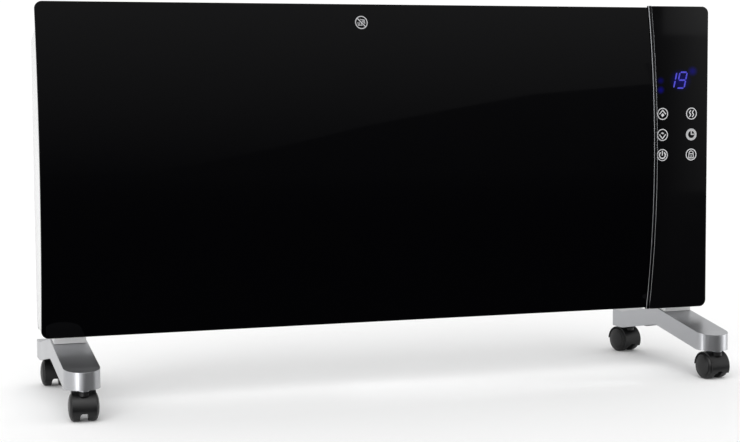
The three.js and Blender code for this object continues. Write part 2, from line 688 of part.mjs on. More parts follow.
for (const [side, x] of Object.entries(FOOT_X)) {
  const middle = x + FOOT_WIDTH / 2;
  piece(`foot_${side}`, foot(), SILVER, model).position.x = middle;
  piece(`foot_pad_${side}`, footPad(), WHITE_PAINT, model).position.x = middle;
  for (const [end, y] of Object.entries(FOOT_SCREW_Y)) {
    piece(`foot_screw_${end}_${side}`, footScrew(), STEEL, model).position.set(middle, y, 0);
  }
}

for (const { name, foot: side, y, turn } of CASTORS) {
  const castor = new THREE.Group();
  castor.position.set(FOOT_X[side] + FOOT_WIDTH / 2, y, FLOOR_Z);
  castor.rotation.z = THREE.MathUtils.degToRad(turn);
  piece(`castor_${name}_stem`, castorStem(), STEEL, castor);
  piece(`castor_${name}_hood`, castorHood(), BLACK_PLASTIC, castor);
  piece(`castor_${name}_axle`, castorAxle(), STEEL, castor);
  piece(`castor_${name}_wheel_left`, castorWheel(-1), BLACK_PLASTIC, castor);
  piece(`castor_${name}_wheel_right`, castorWheel(1), BLACK_PLASTIC, castor);
  model.add(castor);
}

// Set the heater down with the middle of its base at the origin.
model.updateMatrixWorld(true);
const extent = new THREE.Box3().setFromObject(model, true);
model.position.set(-PANEL_WIDTH / 2, -(extent.min.y + extent.max.y) / 2, -FLOOR_Z);

export default model;
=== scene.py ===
"""Looks of a glass-front panel convector heater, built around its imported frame.

Sizes are in millimetres unless a name says otherwise. Positions come from the frame: Datum turns
panel millimetres (right of the main glass's left edge, behind the control glass's face, above the
main glass's lower edge) into scene metres.
"""

import json
import logging
import math
from dataclasses import dataclass
from enum import Enum
from typing import Callable, Iterable, Optional, Sequence

import bmesh
import bpy
from mathutils import Matrix, Vector


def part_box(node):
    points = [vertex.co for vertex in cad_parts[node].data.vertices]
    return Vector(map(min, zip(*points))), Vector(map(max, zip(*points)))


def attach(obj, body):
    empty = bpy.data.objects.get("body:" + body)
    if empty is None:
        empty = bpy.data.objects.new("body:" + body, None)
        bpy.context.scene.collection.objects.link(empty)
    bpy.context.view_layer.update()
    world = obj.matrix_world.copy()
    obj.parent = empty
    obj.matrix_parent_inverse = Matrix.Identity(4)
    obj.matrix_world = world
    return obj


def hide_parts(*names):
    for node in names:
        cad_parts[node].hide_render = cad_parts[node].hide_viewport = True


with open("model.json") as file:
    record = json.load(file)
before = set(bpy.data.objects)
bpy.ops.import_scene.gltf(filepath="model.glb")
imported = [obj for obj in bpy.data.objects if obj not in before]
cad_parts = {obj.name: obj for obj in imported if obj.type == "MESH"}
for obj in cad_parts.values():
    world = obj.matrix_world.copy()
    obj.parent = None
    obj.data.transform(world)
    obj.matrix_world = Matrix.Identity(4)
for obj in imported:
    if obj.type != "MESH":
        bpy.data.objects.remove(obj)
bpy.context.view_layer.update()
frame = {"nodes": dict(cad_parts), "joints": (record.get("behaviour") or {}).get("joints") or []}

LOG = logging.getLogger("heater")
MM = 0.001
ROOT = "root"
# Edges sharper than this stay crisp; those flatter than the second are no edges at all.
CRISP_ANGLE = math.radians(35)
FLAT_ANGLE = math.radians(0.5)
# How near, in metres, loose triangles' corners are the same, and a point is on a cutting plane.
WELD = 0.002 * MM
ON_PLANE = 1e-7
Point = tuple[float, float]
Place = tuple[float, float, float]


# ---------------------------------------------------------------- node and colour helpers
def linear(colour: str) -> tuple[float, float, float, float]:
    """Turns an sRGB hex colour to linear.

    Args:
        colour: six hex digits after a hash.

    Returns:
        Linear red, green and blue with alpha 1.
    """
    channels = [int(colour[i : i + 2], 16) / 255 for i in (1, 3, 5)]
    values = [c / 12.92 if c <= 0.04045 else ((c + 0.055) / 1.055) ** 2.4 for c in channels]
    return (values[0], values[1], values[2], 1.0)


def add_node(
    tree: bpy.types.NodeTree, kind: str, inputs: Optional[dict] = None, **settings
) -> bpy.types.Node:
    """Adds a node with its settings, its values and its links.

    Args:
        tree: the tree that takes the node.
        kind: the node's type name.
        inputs: socket name or index to a value, or to the output socket that feeds it.
        **settings: the node's own properties.

    Returns:
        The new node.
    """
    node = tree.nodes.new(kind)
    for name, value in settings.items():
        setattr(node, name, value)
    for socket, value in (inputs or {}).items():
        if isinstance(value, bpy.types.NodeSocket):
            tree.links.new(value, node.inputs[socket])
        else:
            node.inputs[socket].default_value = value
    return node


def empty_tree(owner: bpy.types.ID) -> bpy.types.NodeTree:
    """Gives a material or a world a node tree with nothing in it."""
    owner.use_nodes = True
    owner.node_tree.nodes.clear()
    return owner.node_tree


def add_object(name: str, data: bpy.types.ID) -> bpy.types.Object:
    """Makes an object of a mesh, a light or a camera, and links it to the scene."""
    made = bpy.data.objects.new(name, data)
    bpy.context.scene.collection.objects.link(made)
    return made


# ---------------------------------------------------------------- finishes
class Grain(Enum):
    """How a surface was made, which sets the pattern of its relief."""

    POLISHED = "polished"
    POWDER = "powder coated"
    MOULDED = "moulded in a spark-eroded tool"
    BRUSHED = "brushed or drawn along X"
    FLAKE = "painted with metal flake"


@dataclass(frozen=True)
class Finish:
    """One real surface, made of nodes on Object coordinates."""

    name: str
    colour: str
    roughness: float
    metallic: float = 0.0
    specular: float = 0.5
    coat: float = 0.0
    grain: Grain = Grain.MOULDED
    grain_mm: float = 0.6
    relief_mm: float = 0.01
    patch_mm: float = 45.0
    patch_depth: float = 0.06
    gloss_spread: float = 0.05

    def material(self) -> bpy.types.Material:
        """Returns the material, made once and then reused."""
        found = bpy.data.materials.get(self.name)
        return found if found else self.make()

    def make(self) -> bpy.types.Material:
        """Builds the material's nodes.

        Returns:
            The new material.
        """
        material = bpy.data.materials.new(self.name)
        tree = empty_tree(material)
        place = add_node(tree, "ShaderNodeTexCoord").outputs["Object"]
        cloud = {"Vector": place, "Scale": 1 / (self.patch_mm * MM), "Detail": 3.0}
        patches = add_node(tree, "ShaderNodeTexNoise", cloud).outputs["Fac"]
        base = linear(self.colour)
        dark = tuple(c * (1 - self.patch_depth) for c in base[:3]) + (1.0,)
        light = tuple(min(1.0, c * (1 + self.patch_depth)) for c in base[:3]) + (1.0,)
        colour = self.blend(tree, patches, dark, light)
        height = self.relief(tree, place)
        gloss = add_node(
            tree,
            "ShaderNodeMapRange",
            {
                "Value": patches,
                "From Min": 0.3,
                "From Max": 0.7,
                "To Min": max(0.0, self.roughness - self.gloss_spread),
                "To Max": self.roughness + self.gloss_spread,
            },
        ).outputs["Result"]
        shader = add_node(
            tree,
            "ShaderNodeBsdfPrincipled",
            {
                "Base Color": colour,
                "Metallic": self.metallic,
                "Roughness": gloss,
                "Specular IOR Level": self.specular,
                "Coat Weight": self.coat,
            },
        )
        if height is not None:
            raised = {"Height": height, "Distance": self.relief_mm * MM}
            bump = add_node(tree, "ShaderNodeBump", raised)
            tree.links.new(bump.outputs["Normal"], shader.inputs["Normal"])
        self.light_up(tree, shader, place)
        add_node(tree, "ShaderNodeOutputMaterial", {"Surface": shader.outputs["BSDF"]})
        return material

    @staticmethod
    def blend(
        tree: bpy.types.NodeTree, factor: bpy.types.NodeSocket, first: Sequence, second: Sequence
    ) -> bpy.types.NodeSocket:
        """Mixes two colours by a factor.

        Args:
            tree: the material's tree.
            factor: the socket that chooses between them.
            first: colour at factor 0.
            second: colour at factor 1.

        Returns:
            The mixed colour's socket.
        """
        mixed = add_node(tree, "ShaderNodeMix", {0: factor}, data_type="RGBA")
        mixed.inputs[6].default_value = first
        mixed.inputs[7].default_value = second
        return mixed.outputs[2]

    def relief(
        self, tree: bpy.types.NodeTree, place: bpy.types.NodeSocket
    ) -> Optional[bpy.types.NodeSocket]:
        """Makes the height pattern that the grain gives.

        Args:
            tree: the material's tree.
            place: Object coordinates.

        Returns:
            The height socket, or None on a polished surface.
        """
        scale = 1 / (self.grain_mm * MM)
        if self.grain is Grain.POLISHED:
            return None
        if self.grain is Grain.FLAKE:
            cells = add_node(tree, "ShaderNodeTexVoronoi", {"Vector": place, "Scale": scale})
            return cells.outputs["Distance"]
        if self.grain is Grain.BRUSHED:
            drawn_out = {"Vector": place, "Scale": (0.02, 1.0, 1.0)}
            place = add_node(tree, "ShaderNodeMapping", drawn_out).outputs["Vector"]
        detail = 1.0 if self.grain is Grain.POWDER else 4.0
        noise = {"Vector": place, "Scale": scale, "Detail": detail}
        return add_node(tree, "ShaderNodeTexNoise", noise).outputs["Fac"]

    def light_up(
        self, tree: bpy.types.NodeTree, shader: bpy.types.Node, place: bpy.types.NodeSocket
    ) -> None:
        """Adds any light that the surface gives; a plain finish gives none."""


@dataclass(frozen=True)
class Glow:
    """A soft spot of light behind the glass: centre in scene metres, size and strength."""

    centre: Place
    half_width: float
    half_height: float
    strength: float


@dataclass(frozen=True)
class LitGlass(Finish):
    """Black back-painted glass with lamps that shine softly through it."""

    glow_colour: str = "#1A10C8"
    glows: tuple[Glow, ...] = ()

    def light_up(
        self, tree: bpy.types.NodeTree, shader: bpy.types.Node, place: bpy.types.NodeSocket
    ) -> None:
        """Adds the soft glows to the glass.

        Args:
            tree: the material's tree.
            shader: the surface's shader.
            place: Object coordinates.
        """
        total: Optional[bpy.types.NodeSocket] = None
        for glow in self.glows:
            away = {0: place, 1: glow.centre}
            offset = add_node(tree, "ShaderNodeVectorMath", away, operation="SUBTRACT").outputs[0]
            size = (1 / (glow.half_width * MM), 0.0, 1 / (glow.half_height * MM))
            sized = {0: offset, 1: size}
            scaled = add_node(tree, "ShaderNodeVectorMath", sized, operation="MULTIPLY").outputs[0]
            reach = add_node(tree, "ShaderNodeVectorMath", {0: scaled}, operation="LENGTH")
            falloff = {"Value": reach.outputs["Value"], "From Max": 1.0}
            falloff |= {"To Min": glow.strength, "To Max": 0.0}
            fade = add_node(
                tree, "ShaderNodeMapRange", falloff, interpolation_type="SMOOTHSTEP"
            ).outputs["Result"]
            if total is not None:
                fade = add_node(tree, "ShaderNodeMath", {0: total, 1: fade}).outputs[0]
            total = fade
        if total is not None:
            shader.inputs["Emission Color"].default_value = linear(self.glow_colour)
            tree.links.new(total, shader.inputs["Emission Strength"])


@dataclass(frozen=True)
class LampFinish(Finish):
    """A diffused light-emitting segment."""

    glow_colour: str = "#4A46F2"
    strength: float = 1.0
    cloud_mm: float = 3.0
    unevenness: float = 0.3

    def light_up(
        self, tree: bpy.types.NodeTree, shader: bpy.types.Node, place: bpy.types.NodeSocket
    ) -> None:
        """Lights the whole segment, brighter and dimmer in soft random patches.

        Args:
            tree: the material's tree.
            shader: the surface's shader.
            place: Object coordinates.
        """
        noise = {"Vector": place, "Scale": 1 / (self.cloud_mm * MM), "Detail": 1.0}
        cloud = add_node(tree, "ShaderNodeTexNoise", noise).outputs["Fac"]
        least, most = self.strength * (1 - self.unevenness), self.strength * (1 + self.unevenness)
        spread = {"Value": cloud, "To Min": least, "To Max": most}
        level = add_node(tree, "ShaderNodeMapRange", spread)
        shader.inputs["Emission Color"].default_value = linear(self.glow_colour)
        tree.links.new(level.outputs["Result"], shader.inputs["Emission Strength"])


# Toughened float glass painted black on its back: a deep black with a thin, weak reflection.
GLASS = Finish(
    "toughened_glass_black", "#030304", 0.04, specular=0.05, grain=Grain.POLISHED, gloss_spread=0.01
)
# Gloss-black ABS moulding: deep black with sharp highlights.
TRIM = Finish("gloss_abs_black", "#040405", 0.16, specular=0.06, grain_mm=1.5, relief_mm=0.002)
# Bright-cut aluminium edge: a thin pale line that takes the room's light.
BRIGHT_EDGE = Finish(
    "bright_cut_aluminium", "#9B9C9F", 0.32, metallic=1.0, grain=Grain.BRUSHED, grain_mm=0.3,
    relief_mm=0.004,
)
# White epoxy powder coat on steel sheet: soft sheen over a fine orange peel.
POWDER_WHITE = Finish(
    "powder_coat_white", "#E9E9E9", 0.42, grain=Grain.POWDER, grain_mm=1.1, relief_mm=0.03,
    patch_depth=0.02,
)
# Black ABS from a spark-eroded tool: even and matt.
ABS_BLACK = Finish("moulded_abs_black", "#19191A", 0.55, grain_mm=0.5, relief_mm=0.02)
# Glass-filled nylon: satin black, slightly cloudy.
NYLON = Finish(
    "moulded_nylon_black", "#0E0E0F", 0.38, specular=0.32, grain_mm=0.9, relief_mm=0.01,
    gloss_spread=0.07,
)
# Polyurethane-faced nylon wheel: a little duller than the hood.
WHEEL_NYLON = Finish(
    "wheel_nylon_black", "#0D0D0E", 0.42, specular=0.4, grain_mm=0.8, relief_mm=0.015,
    gloss_spread=0.08,
)
# Silver automotive-type paint on a die casting: metal flake under a thin lacquer.
SILVER_PAINT = Finish(
    "silver_flake_paint", "#ABACAF", 0.33, metallic=0.92, coat=0.1, grain=Grain.FLAKE, grain_mm=0.5,
    relief_mm=0.004, patch_depth=0.02, gloss_spread=0.03,
)
# Zinc-plated steel: pale grey with a faint drawn grain.
ZINC = Finish(
    "zinc_plated_steel", "#A9ABAE", 0.32, metallic=1.0, grain=Grain.BRUSHED, grain_mm=0.4,
    relief_mm=0.006,
)
# Mill-finish aluminium: drawn lines along the bar or sheet.
MILL_ALUMINIUM = Finish(
    "mill_aluminium", "#C3C5C8", 0.38, metallic=1.0, grain=Grain.BRUSHED, grain_mm=0.5,
    relief_mm=0.008,
)
# Unglazed steatite: chalky and warm.
STEATITE = Finish(
    "steatite_ceramic", "#E6DECB", 0.7, grain=Grain.POWDER, grain_mm=0.5, relief_mm=0.02
)
# Solder mask over copper: green, with the tracks showing as slight relief.
SOLDER_MASK = Finish(
    "solder_mask_green", "#1B5A34", 0.35, grain=Grain.FLAKE, grain_mm=4.0, relief_mm=0.05
)
# Polyamide for switch and terminal housings.
POLYAMIDE = Finish("polyamide_pale", "#D5D4D0", 0.5, grain_mm=0.6, relief_mm=0.015)
# Ceramic ink fired on the glass: pale grey and flat.
INK = Finish(
    "fired_ink_grey", "#C2C2C4", 0.6, grain_mm=0.3, relief_mm=0.004, patch_mm=4.0, patch_depth=0.08
)
INK_DIM = Finish(
    "fired_ink_dim", "#A2A2A4", 0.6, grain_mm=0.3, relief_mm=0.004, patch_mm=3.0, patch_depth=0.1
)
# Diffused blue light-emitting segment.
SEGMENT = LampFinish("blue_led_segment", "#0A0A30", 0.4, glow_colour="#4842FF", strength=0.56)


# ---------------------------------------------------------------- places
@dataclass(frozen=True)
class Datum:
    """Origin of the panel's own millimetres, in scene metres."""

    left: float
    face: float
    base: float

    @classmethod
    def from_frame(cls) -> "Datum":
        """Reads the origin from the two glasses."""
        main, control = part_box("main_glass")[0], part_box("control_glass")[0]
        return cls(left=main[0], face=control[1], base=main[2])

    def at(self, x: float, y: float, z: float) -> Vector:
        """Turns panel millimetres to scene metres."""
        return Vector((self.left + x * MM, self.face + y * MM, self.base + z * MM))


DATUM = Datum.from_frame()


@dataclass(frozen=True)
class Bow:
    """The main glass's curve: a cylinder about a level axis."""

    height: float = 372.0
    rise: float = 18.0
    setback: float = 3.0

    @property
    def radius(self) -> float:
        """Radius of the outer face."""
        return (self.height**2 / 4 + self.rise**2) / (2 * self.rise)

    def face_y(self, z: float, inward: float = 0.0) -> float:
        """How far behind the control glass's face the bow lies at height z."""
        radius = self.radius - inward
        centre = self.setback - self.rise + self.radius
        return centre - math.sqrt(radius**2 - (z - self.height / 2) ** 2)


BOW = Bow()


# ---------------------------------------------------------------- mesh helpers
def new_piece(
    name: str, mesh: bmesh.types.BMesh, finishes: Sequence[Finish], crisp: float = CRISP_ANGLE
) -> bpy.types.Object:
    """Turns a bmesh into a linked object.

    Args:
        name: the piece's name.
        mesh: its geometry in scene metres; it is freed.
        finishes: one finish for each material slot.
        crisp: edges sharper than this angle stay crisp.

    Returns:
        The new object, at the origin.
    """
    bmesh.ops.recalc_face_normals(mesh, faces=mesh.faces)
    data = bpy.data.meshes.new(name)
    mesh.to_mesh(data)
    mesh.free()
    for finish in finishes:
        data.materials.append(finish.material())
    data.shade_smooth()
    data.set_sharp_from_angle(angle=crisp)
    return add_object(name, data)


def settle(piece: bpy.types.Object) -> bpy.types.Object:
    """Applies the piece's modifiers, so that a plain mesh is left."""
    graph = bpy.context.evaluated_depsgraph_get()
    data = bpy.data.meshes.new_from_object(piece.evaluated_get(graph))
    piece.modifiers.clear()
    piece.data = data
    data.name = piece.name
    return piece


def round_edges(
    piece: bpy.types.Object, width: float, segments: int = 3, over_deg: float = 35, slot: int = -1
) -> bpy.types.Object:
    """Rounds the sharp edges of a piece.

    Args:
        piece: the object to finish.
        width: radius of the rounding.
        segments: facets across the rounding.
        over_deg: edges sharper than this are rounded.
        slot: material slot of the rounded faces, or -1 to keep their neighbours' one.

    Returns:
        The same object with the rounding applied.
    """
    bevel = piece.modifiers.new("edge", "BEVEL")
    bevel.width = width * MM
    bevel.segments = segments
    bevel.limit_method = "ANGLE"
    bevel.angle_limit = math.radians(over_deg)
    bevel.material = slot
    bevel.harden_normals = True
    bevel.miter_outer = "MITER_ARC"
    return settle(piece)


def carve(piece: bpy.types.Object, tool: bpy.types.Object) -> bpy.types.Object:
    """Cuts one piece with another.

    Args:
        piece: the piece to cut.
        tool: the shape to take away; it is removed.

    Returns:
        The cut piece.
    """
    cut = piece.modifiers.new("cut", "BOOLEAN")
    cut.operation = "DIFFERENCE"
    cut.solver = "EXACT"
    cut.object = tool
    settle(piece)
    bpy.data.objects.remove(tool)
    piece.data.set_sharp_from_angle(angle=CRISP_ANGLE)
    return piece


def prism(mesh: bmesh.types.BMesh, outline: Iterable[Vector], depth: Vector) -> None:
    """Adds a closed prism.

    Args:
        mesh: takes the new faces.
        outline: corners of one end face, in order.
        depth: from that face to the other.
    """
    near = [mesh.verts.new(p) for p in outline]
    far = [mesh.verts.new(v.co + depth) for v in near]
    mesh.faces.new(near)
    mesh.faces.new(list(reversed(far)))
    count = len(near)
    for i in range(count):
        j = (i + 1) % count
        mesh.faces.new((near[j], near[i], far[i], far[j]))


def straight(
    name: str, outline: Iterable[Vector], depth: Vector, finish: Finish
) -> bpy.types.Object:
    """Makes a piece that is one closed prism.

    Args:
        name: the piece's name.
        outline: corners of one end face, in order.
        depth: from that face to the other.
        finish: its finish.

    Returns:
        The new object.
    """
    mesh = bmesh.new()
    prism(mesh, outline, depth)
    return new_piece(name, mesh, [finish])


def turned(
    name: str,
    profile: Sequence[Point],
    place: Matrix,
    finish: Finish,
    steps: int = 32,
    crisp: float = CRISP_ANGLE,
) -> bpy.types.Object:
    """Makes a piece by turning a profile about the local X axis.

    Args:
        name: the piece's name.
        profile: (distance along X, radius) points; it closes on itself, and radius 0 is a pole.
        place: matrix from local millimetres to scene metres.
        finish: its finish.
        steps: facets round the axis.
        crisp: edges sharper than this angle stay crisp.

    Returns:
        The new object.
    """
    mesh = bmesh.new()
    rings = []
    for x, r in profile:
        angles = [0.0] if r == 0 else [2 * math.pi * i / steps for i in range(steps)]
        points = [place @ Vector((x, r * math.cos(a), r * math.sin(a))) for a in angles]
        rings.append([mesh.verts.new(p) for p in points])
    for first, second in zip(rings, rings[1:] + rings[:1]):
        if len(first) == len(second) == 1:
            continue
        for i in range(steps):
            j = (i + 1) % steps
            one, two = len(first), len(second)
            corners = [first[i % one], first[j % one], second[j % two], second[i % two]]
            mesh.faces.new(list(dict.fromkeys(corners)))
    return new_piece(name, mesh, [finish], crisp)


def arc(cu: float, cv: float, radius: float, start: float, end: float, steps: int) -> list[Point]:
    """Points on an arc, from one angle to another in degrees."""
    angles = [math.radians(start + (end - start) * i / steps) for i in range(steps + 1)]
    return [(cu + radius * math.cos(a), cv + radius * math.sin(a)) for a in angles]


def slice_up(mesh: bmesh.types.BMesh, axis: int, levels: Iterable[float]) -> None:
    """Cuts every face at the levels along an axis, in scene metres."""
    normal = Vector((0, 0, 0))
    normal[axis] = 1
    for level in levels:
        geometry = mesh.verts[:] + mesh.edges[:] + mesh.faces[:]
        plane = {"plane_co": normal * level, "plane_no": normal, "dist": ON_PLANE}
        bmesh.ops.bisect_plane(mesh, geom=geometry, **plane)


def cad_copy(
    node: str, name: str, finishes: Sequence[Finish], soften: float, over_mm: float = 0.0
) -> bpy.types.Object:
    """Copies a CAD node, cleans its mesh and softens its edges.

    Args:
        node: the CAD node's name.
        name: the new piece's name.
        finishes: one finish for each material slot.
        soften: radius of the edges.
        over_mm: if set, only edges longer than this are softened, as on folded sheet.

    Returns:
        The new object.
    """
    source = frame["nodes"][node]
    mesh = bmesh.new()
    mesh.from_mesh(source.data)
    mesh.transform(source.matrix_world)
    bmesh.ops.remove_doubles(mesh, verts=mesh.verts, dist=WELD)
    for face in mesh.faces:
        face.material_index = 0
    if over_mm:
        longer = [e for e in mesh.edges if e.calc_length() > over_mm * MM]
        folds = [e for e in longer if e.calc_face_angle(0) > CRISP_ANGLE]
        form = {"offset": soften * MM, "segments": 3, "affect": "EDGES", "profile": 0.5}
        bmesh.ops.bevel(mesh, geom=folds, clamp_overlap=True, **form)
        piece = new_piece(name, mesh, finishes)
        piece.modifiers.new("flat", "WEIGHTED_NORMAL").keep_sharp = True
        return settle(piece)
    bmesh.ops.dissolve_limit(mesh, angle_limit=FLAT_ANGLE, verts=mesh.verts, edges=mesh.edges)
    return round_edges(new_piece(name, mesh, finishes), soften, segments=2)


def box_of(node: str) -> tuple[Vector, Vector]:
    """Low and high corners of a CAD node, in scene metres."""
    low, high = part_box(node)
    return Vector(low), Vector(high)


class Assembly:
    """Base of the sub-assemblies: joins finished pieces to the frame."""

    @staticmethod
    def fit(piece: bpy.types.Object, body: str, slot: str, *nodes: str) -> None:
        """Makes a piece ride on a body and stand for CAD nodes.

        Args:
            piece: the finished piece.
            body: the CAD body that it moves with.
            slot: the record's material slot; not used.
            *nodes: the CAD nodes that it stands for.
        """
        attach(piece, body)
        if nodes:
            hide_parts(*nodes)
        LOG.info("%s rides on %s, %d faces", piece.name, body, len(piece.data.polygons))

    def dress(
        self, node: str, name: str, finish: Finish, soften: float, slot: str, body: str = ROOT
    ) -> None:
        """Fits a softened copy of a CAD node in that node's place.

        Args:
            node: the CAD node.
            name: the piece's name.
            finish: its finish.
            soften: radius of its edges.
            slot: the record's material slot.
            body: the CAD body that it moves with.
        """
        self.fit(cad_copy(node, name, [finish], soften), body, slot, node)


# ---------------------------------------------------------------- repeated pieces
@dataclass(frozen=True)
class CopyGrid:
    """Copies of one small piece in columns and rows, set out by Geometry Nodes."""

    columns: int
    start: Vector
    across: Vector
    rows: int = 1
    up: Vector = Vector((0, 0, 0))
    turn: float = 0.0
    turn_axis: Vector = Vector((0, 1, 0))
    seed: int = 7

    INPUTS = (
        ("Columns", "NodeSocketInt"),
        ("Rows", "NodeSocketInt"),
        ("Start", "NodeSocketVector"),
        ("Across", "NodeSocketVector"),
        ("Up", "NodeSocketVector"),
        ("Turn", "NodeSocketFloat"),
        ("Turn Axis", "NodeSocketVector"),
        ("Seed", "NodeSocketInt"),
        ("Piece", "NodeSocketObject"),
        ("Finish", "NodeSocketMaterial"),
    )

    @classmethod
    def tree(cls) -> bpy.types.NodeTree:
        """Returns the node tree, made once and then reused."""
        found = bpy.data.node_groups.get("copy_grid")
        if found:
            return found
        tree = bpy.data.node_groups.new("copy_grid", "GeometryNodeTree")
        for label, kind in cls.INPUTS:
            tree.interface.new_socket(label, in_out="INPUT", socket_type=kind)
        tree.interface.new_socket("Geometry", in_out="OUTPUT", socket_type="NodeSocketGeometry")
        given = add_node(tree, "NodeGroupInput").outputs
        index = add_node(tree, "GeometryNodeInputIndex").outputs[0]
        grid = {0: given["Columns"], 1: given["Rows"]}
        count = add_node(tree, "ShaderNodeMath", grid, operation="MULTIPLY")
        in_row = {0: index, 1: given["Columns"]}
        column = add_node(tree, "ShaderNodeMath", in_row, operation="MODULO")
        share = add_node(tree, "ShaderNodeMath", in_row, operation="DIVIDE")
        row = add_node(tree, "ShaderNodeMath", {0: share.outputs[0]}, operation="FLOOR")
        steps = {0: given["Across"], "Scale": column.outputs[0]}
        sideways = add_node(tree, "ShaderNodeVectorMath", steps, operation="SCALE").outputs[0]
        steps = {0: given["Up"], "Scale": row.outputs[0]}
        upward = add_node(tree, "ShaderNodeVectorMath", steps, operation="SCALE").outputs[0]
        offset = add_node(tree, "ShaderNodeVectorMath", {0: sideways, 1: upward})
        spot = add_node(tree, "ShaderNodeVectorMath", {0: offset.outputs[0], 1: given["Start"]})
        set_out = {"Count": count.outputs[0], "Position": spot.outputs[0]}
        points = add_node(tree, "GeometryNodePoints", set_out)
        least = add_node(tree, "ShaderNodeMath", {0: given["Turn"], 1: -1.0}, operation="MULTIPLY")
        angle = add_node(
            tree,
            "FunctionNodeRandomValue",
            {2: least.outputs[0], 3: given["Turn"], "Seed": given["Seed"]},
            data_type="FLOAT",
        )
        about = {"Axis": given["Turn Axis"], "Angle": angle.outputs[1]}
        turned = add_node(tree, "FunctionNodeAxisAngleToRotation", about)
        shape = add_node(tree, "GeometryNodeObjectInfo", {"Object": given["Piece"]})
        copies = add_node(
            tree,
            "GeometryNodeInstanceOnPoints",
            {
                "Points": points.outputs[0],
                "Instance": shape.outputs["Geometry"],
                "Rotation": turned.outputs[0],
            },
        )
        real = add_node(tree, "GeometryNodeRealizeInstances", {"Geometry": copies.outputs[0]})
        coated = {"Geometry": real.outputs[0], "Material": given["Finish"]}
        dressed = add_node(tree, "GeometryNodeSetMaterial", coated)
        add_node(tree, "NodeGroupOutput", {"Geometry": dressed.outputs[0]})
        return tree

    def build(
        self, name: str, piece: bpy.types.Object, finish: Finish, keep: bool = False
    ) -> bpy.types.Object:
        """Makes the copies and bakes them to a plain mesh.

        Args:
            name: the result's name.
            piece: the piece to copy, in metres about its own origin.
            finish: the copies' finish.
            keep: whether that piece stays for another grid, rather than being deleted.

        Returns:
            The new object.
        """
        values = {
            "Columns": self.columns,
            "Rows": self.rows,
            "Start": self.start,
            "Across": self.across,
            "Up": self.up,
            "Turn": self.turn,
            "Turn Axis": self.turn_axis,
            "Seed": self.seed,
            "Piece": piece,
            "Finish": finish.material(),
        }
        host = add_object(name, bpy.data.meshes.new(name))
        modifier = host.modifiers.new("copies", "NODES")
        modifier.node_group = self.tree()
        for item in modifier.node_group.interface.items_tree:
            if item.in_out == "INPUT":
                modifier[item.identifier] = values[item.name]
        settle(host)
        if not keep:
            bpy.data.objects.remove(piece)
        return host


def merge(name: str, pieces: Sequence[bpy.types.Object]) -> bpy.types.Object:
    """Joins finished objects into one.

    Args:
        name: the result's name.
        pieces: the objects, which are used up.

    Returns:
        The joined object.
    """
    with bpy.context.temp_override(active_object=pieces[0], selected_editable_objects=list(pieces)):
        bpy.ops.object.join()
    pieces[0].name = name
    pieces[0].data.name = name
    return pieces[0]


def small_box(
    name: str, size: Sequence[float], finish: Finish, edge: float, centre: Vector = Vector()
) -> bpy.types.Object:
    """Makes a box with rounded edges.

    Args:
        name: the object's name.
        size: its width, depth and height.
        finish: its finish.
        edge: radius of its edges.
        centre: its centre, in scene metres.

    Returns:
        The new object.
    """
    x, y, z = (s / 2 * MM for s in size)
    corners = [centre + Vector(p) for p in ((-x, -y, -z), (x, -y, -z), (x, y, -z), (-x, y, -z))]
    return round_edges(straight(name, corners, Vector((0, 0, 2 * z)), finish), edge, segments=2)


# ---------------------------------------------------------------- printed marks
class Drawing:
    """Flat marks drawn in panel millimetres and given the thickness of a print."""

    THICK = 0.12
    CLEAR = 0.01
    RING_STEPS = 40
    MITRE_LIMIT = 0.4

    def __init__(self, place: Callable[[float, float, float], Vector]) -> None:
        """Starts an empty drawing.

        Args:
            place: turns x, z and the distance in front of the glass to scene metres.
        """
        self.place = place
        self.mesh = bmesh.new()

    def corners(self, points: Sequence[Point]) -> list[bmesh.types.BMVert]:
        """Adds mesh points at the print's outer face."""
        return [self.mesh.verts.new(self.place(x, z, self.THICK)) for x, z in points]

    def band(self, left: Sequence[Point], right: Sequence[Point], closed: bool = False) -> None:
        """Adds a strip between two rows of points.

        Args:
            left: points of one side.
            right: points of the other side.
            closed: whether the strip meets itself.
        """
        rows = [self.corners(side) for side in (left, right)]
        count = len(left)
        for i in range(count if closed else count - 1):
            j = (i + 1) % count
            self.mesh.faces.new((rows[0][i], rows[0][j], rows[1][j], rows[1][i]))

    def ring(
        self, centre: Point, outer: float, width: float, start: float = 0, end: float = 360
    ) -> None:
        """Adds a ring, or a part of one between two angles in degrees."""
        closed = end - start >= 360
        radii = (outer, outer - width)
        sides = [arc(*centre, radius, start, end, self.RING_STEPS) for radius in radii]
        if closed:
            sides = [side[:-1] for side in sides]
        self.band(sides[0], sides[1], closed)

    def stroke(self, points: Sequence[Point], width: float) -> None:
        """Adds a line of even width with mitred corners."""
        left, right = [], []
        for i, (x, z) in enumerate(points):
            before = Vector(points[max(i - 1, 0)])
            after = Vector(points[min(i + 1, len(points) - 1)])
            here = Vector((x, z))
            into = (here - before).normalized() if i else (after - here).normalized()
            out = (after - here).normalized() if i < len(points) - 1 else into
            middle = (into + out).normalized()
            normal = Vector((-middle.y, middle.x))
            half = width / 2 / max(self.MITRE_LIMIT, middle.dot(into))
            left.append((x + normal.x * half, z + normal.y * half))
            right.append((x - normal.x * half, z - normal.y * half))
        self.band(left, right)

    def patch(self, points: Sequence[Point]) -> None:
        """Adds a filled outline."""
        self.mesh.faces.new(self.corners(points))

    def finish(self, name: str, finish: Finish) -> bpy.types.Object:
        """Gives the marks their thickness.

        Args:
            name: the new piece's name.
            finish: its finish.

        Returns:
            The new object.
        """
        raised = bmesh.ops.extrude_face_region(self.mesh, geom=self.mesh.faces[:])
        back = [v for v in raised["geom"] if isinstance(v, bmesh.types.BMVert)]
        depth = Vector((0, (self.THICK - self.CLEAR) * MM, 0))
        bmesh.ops.translate(self.mesh, verts=back, vec=depth)
        return new_piece(name, self.mesh, [finish])


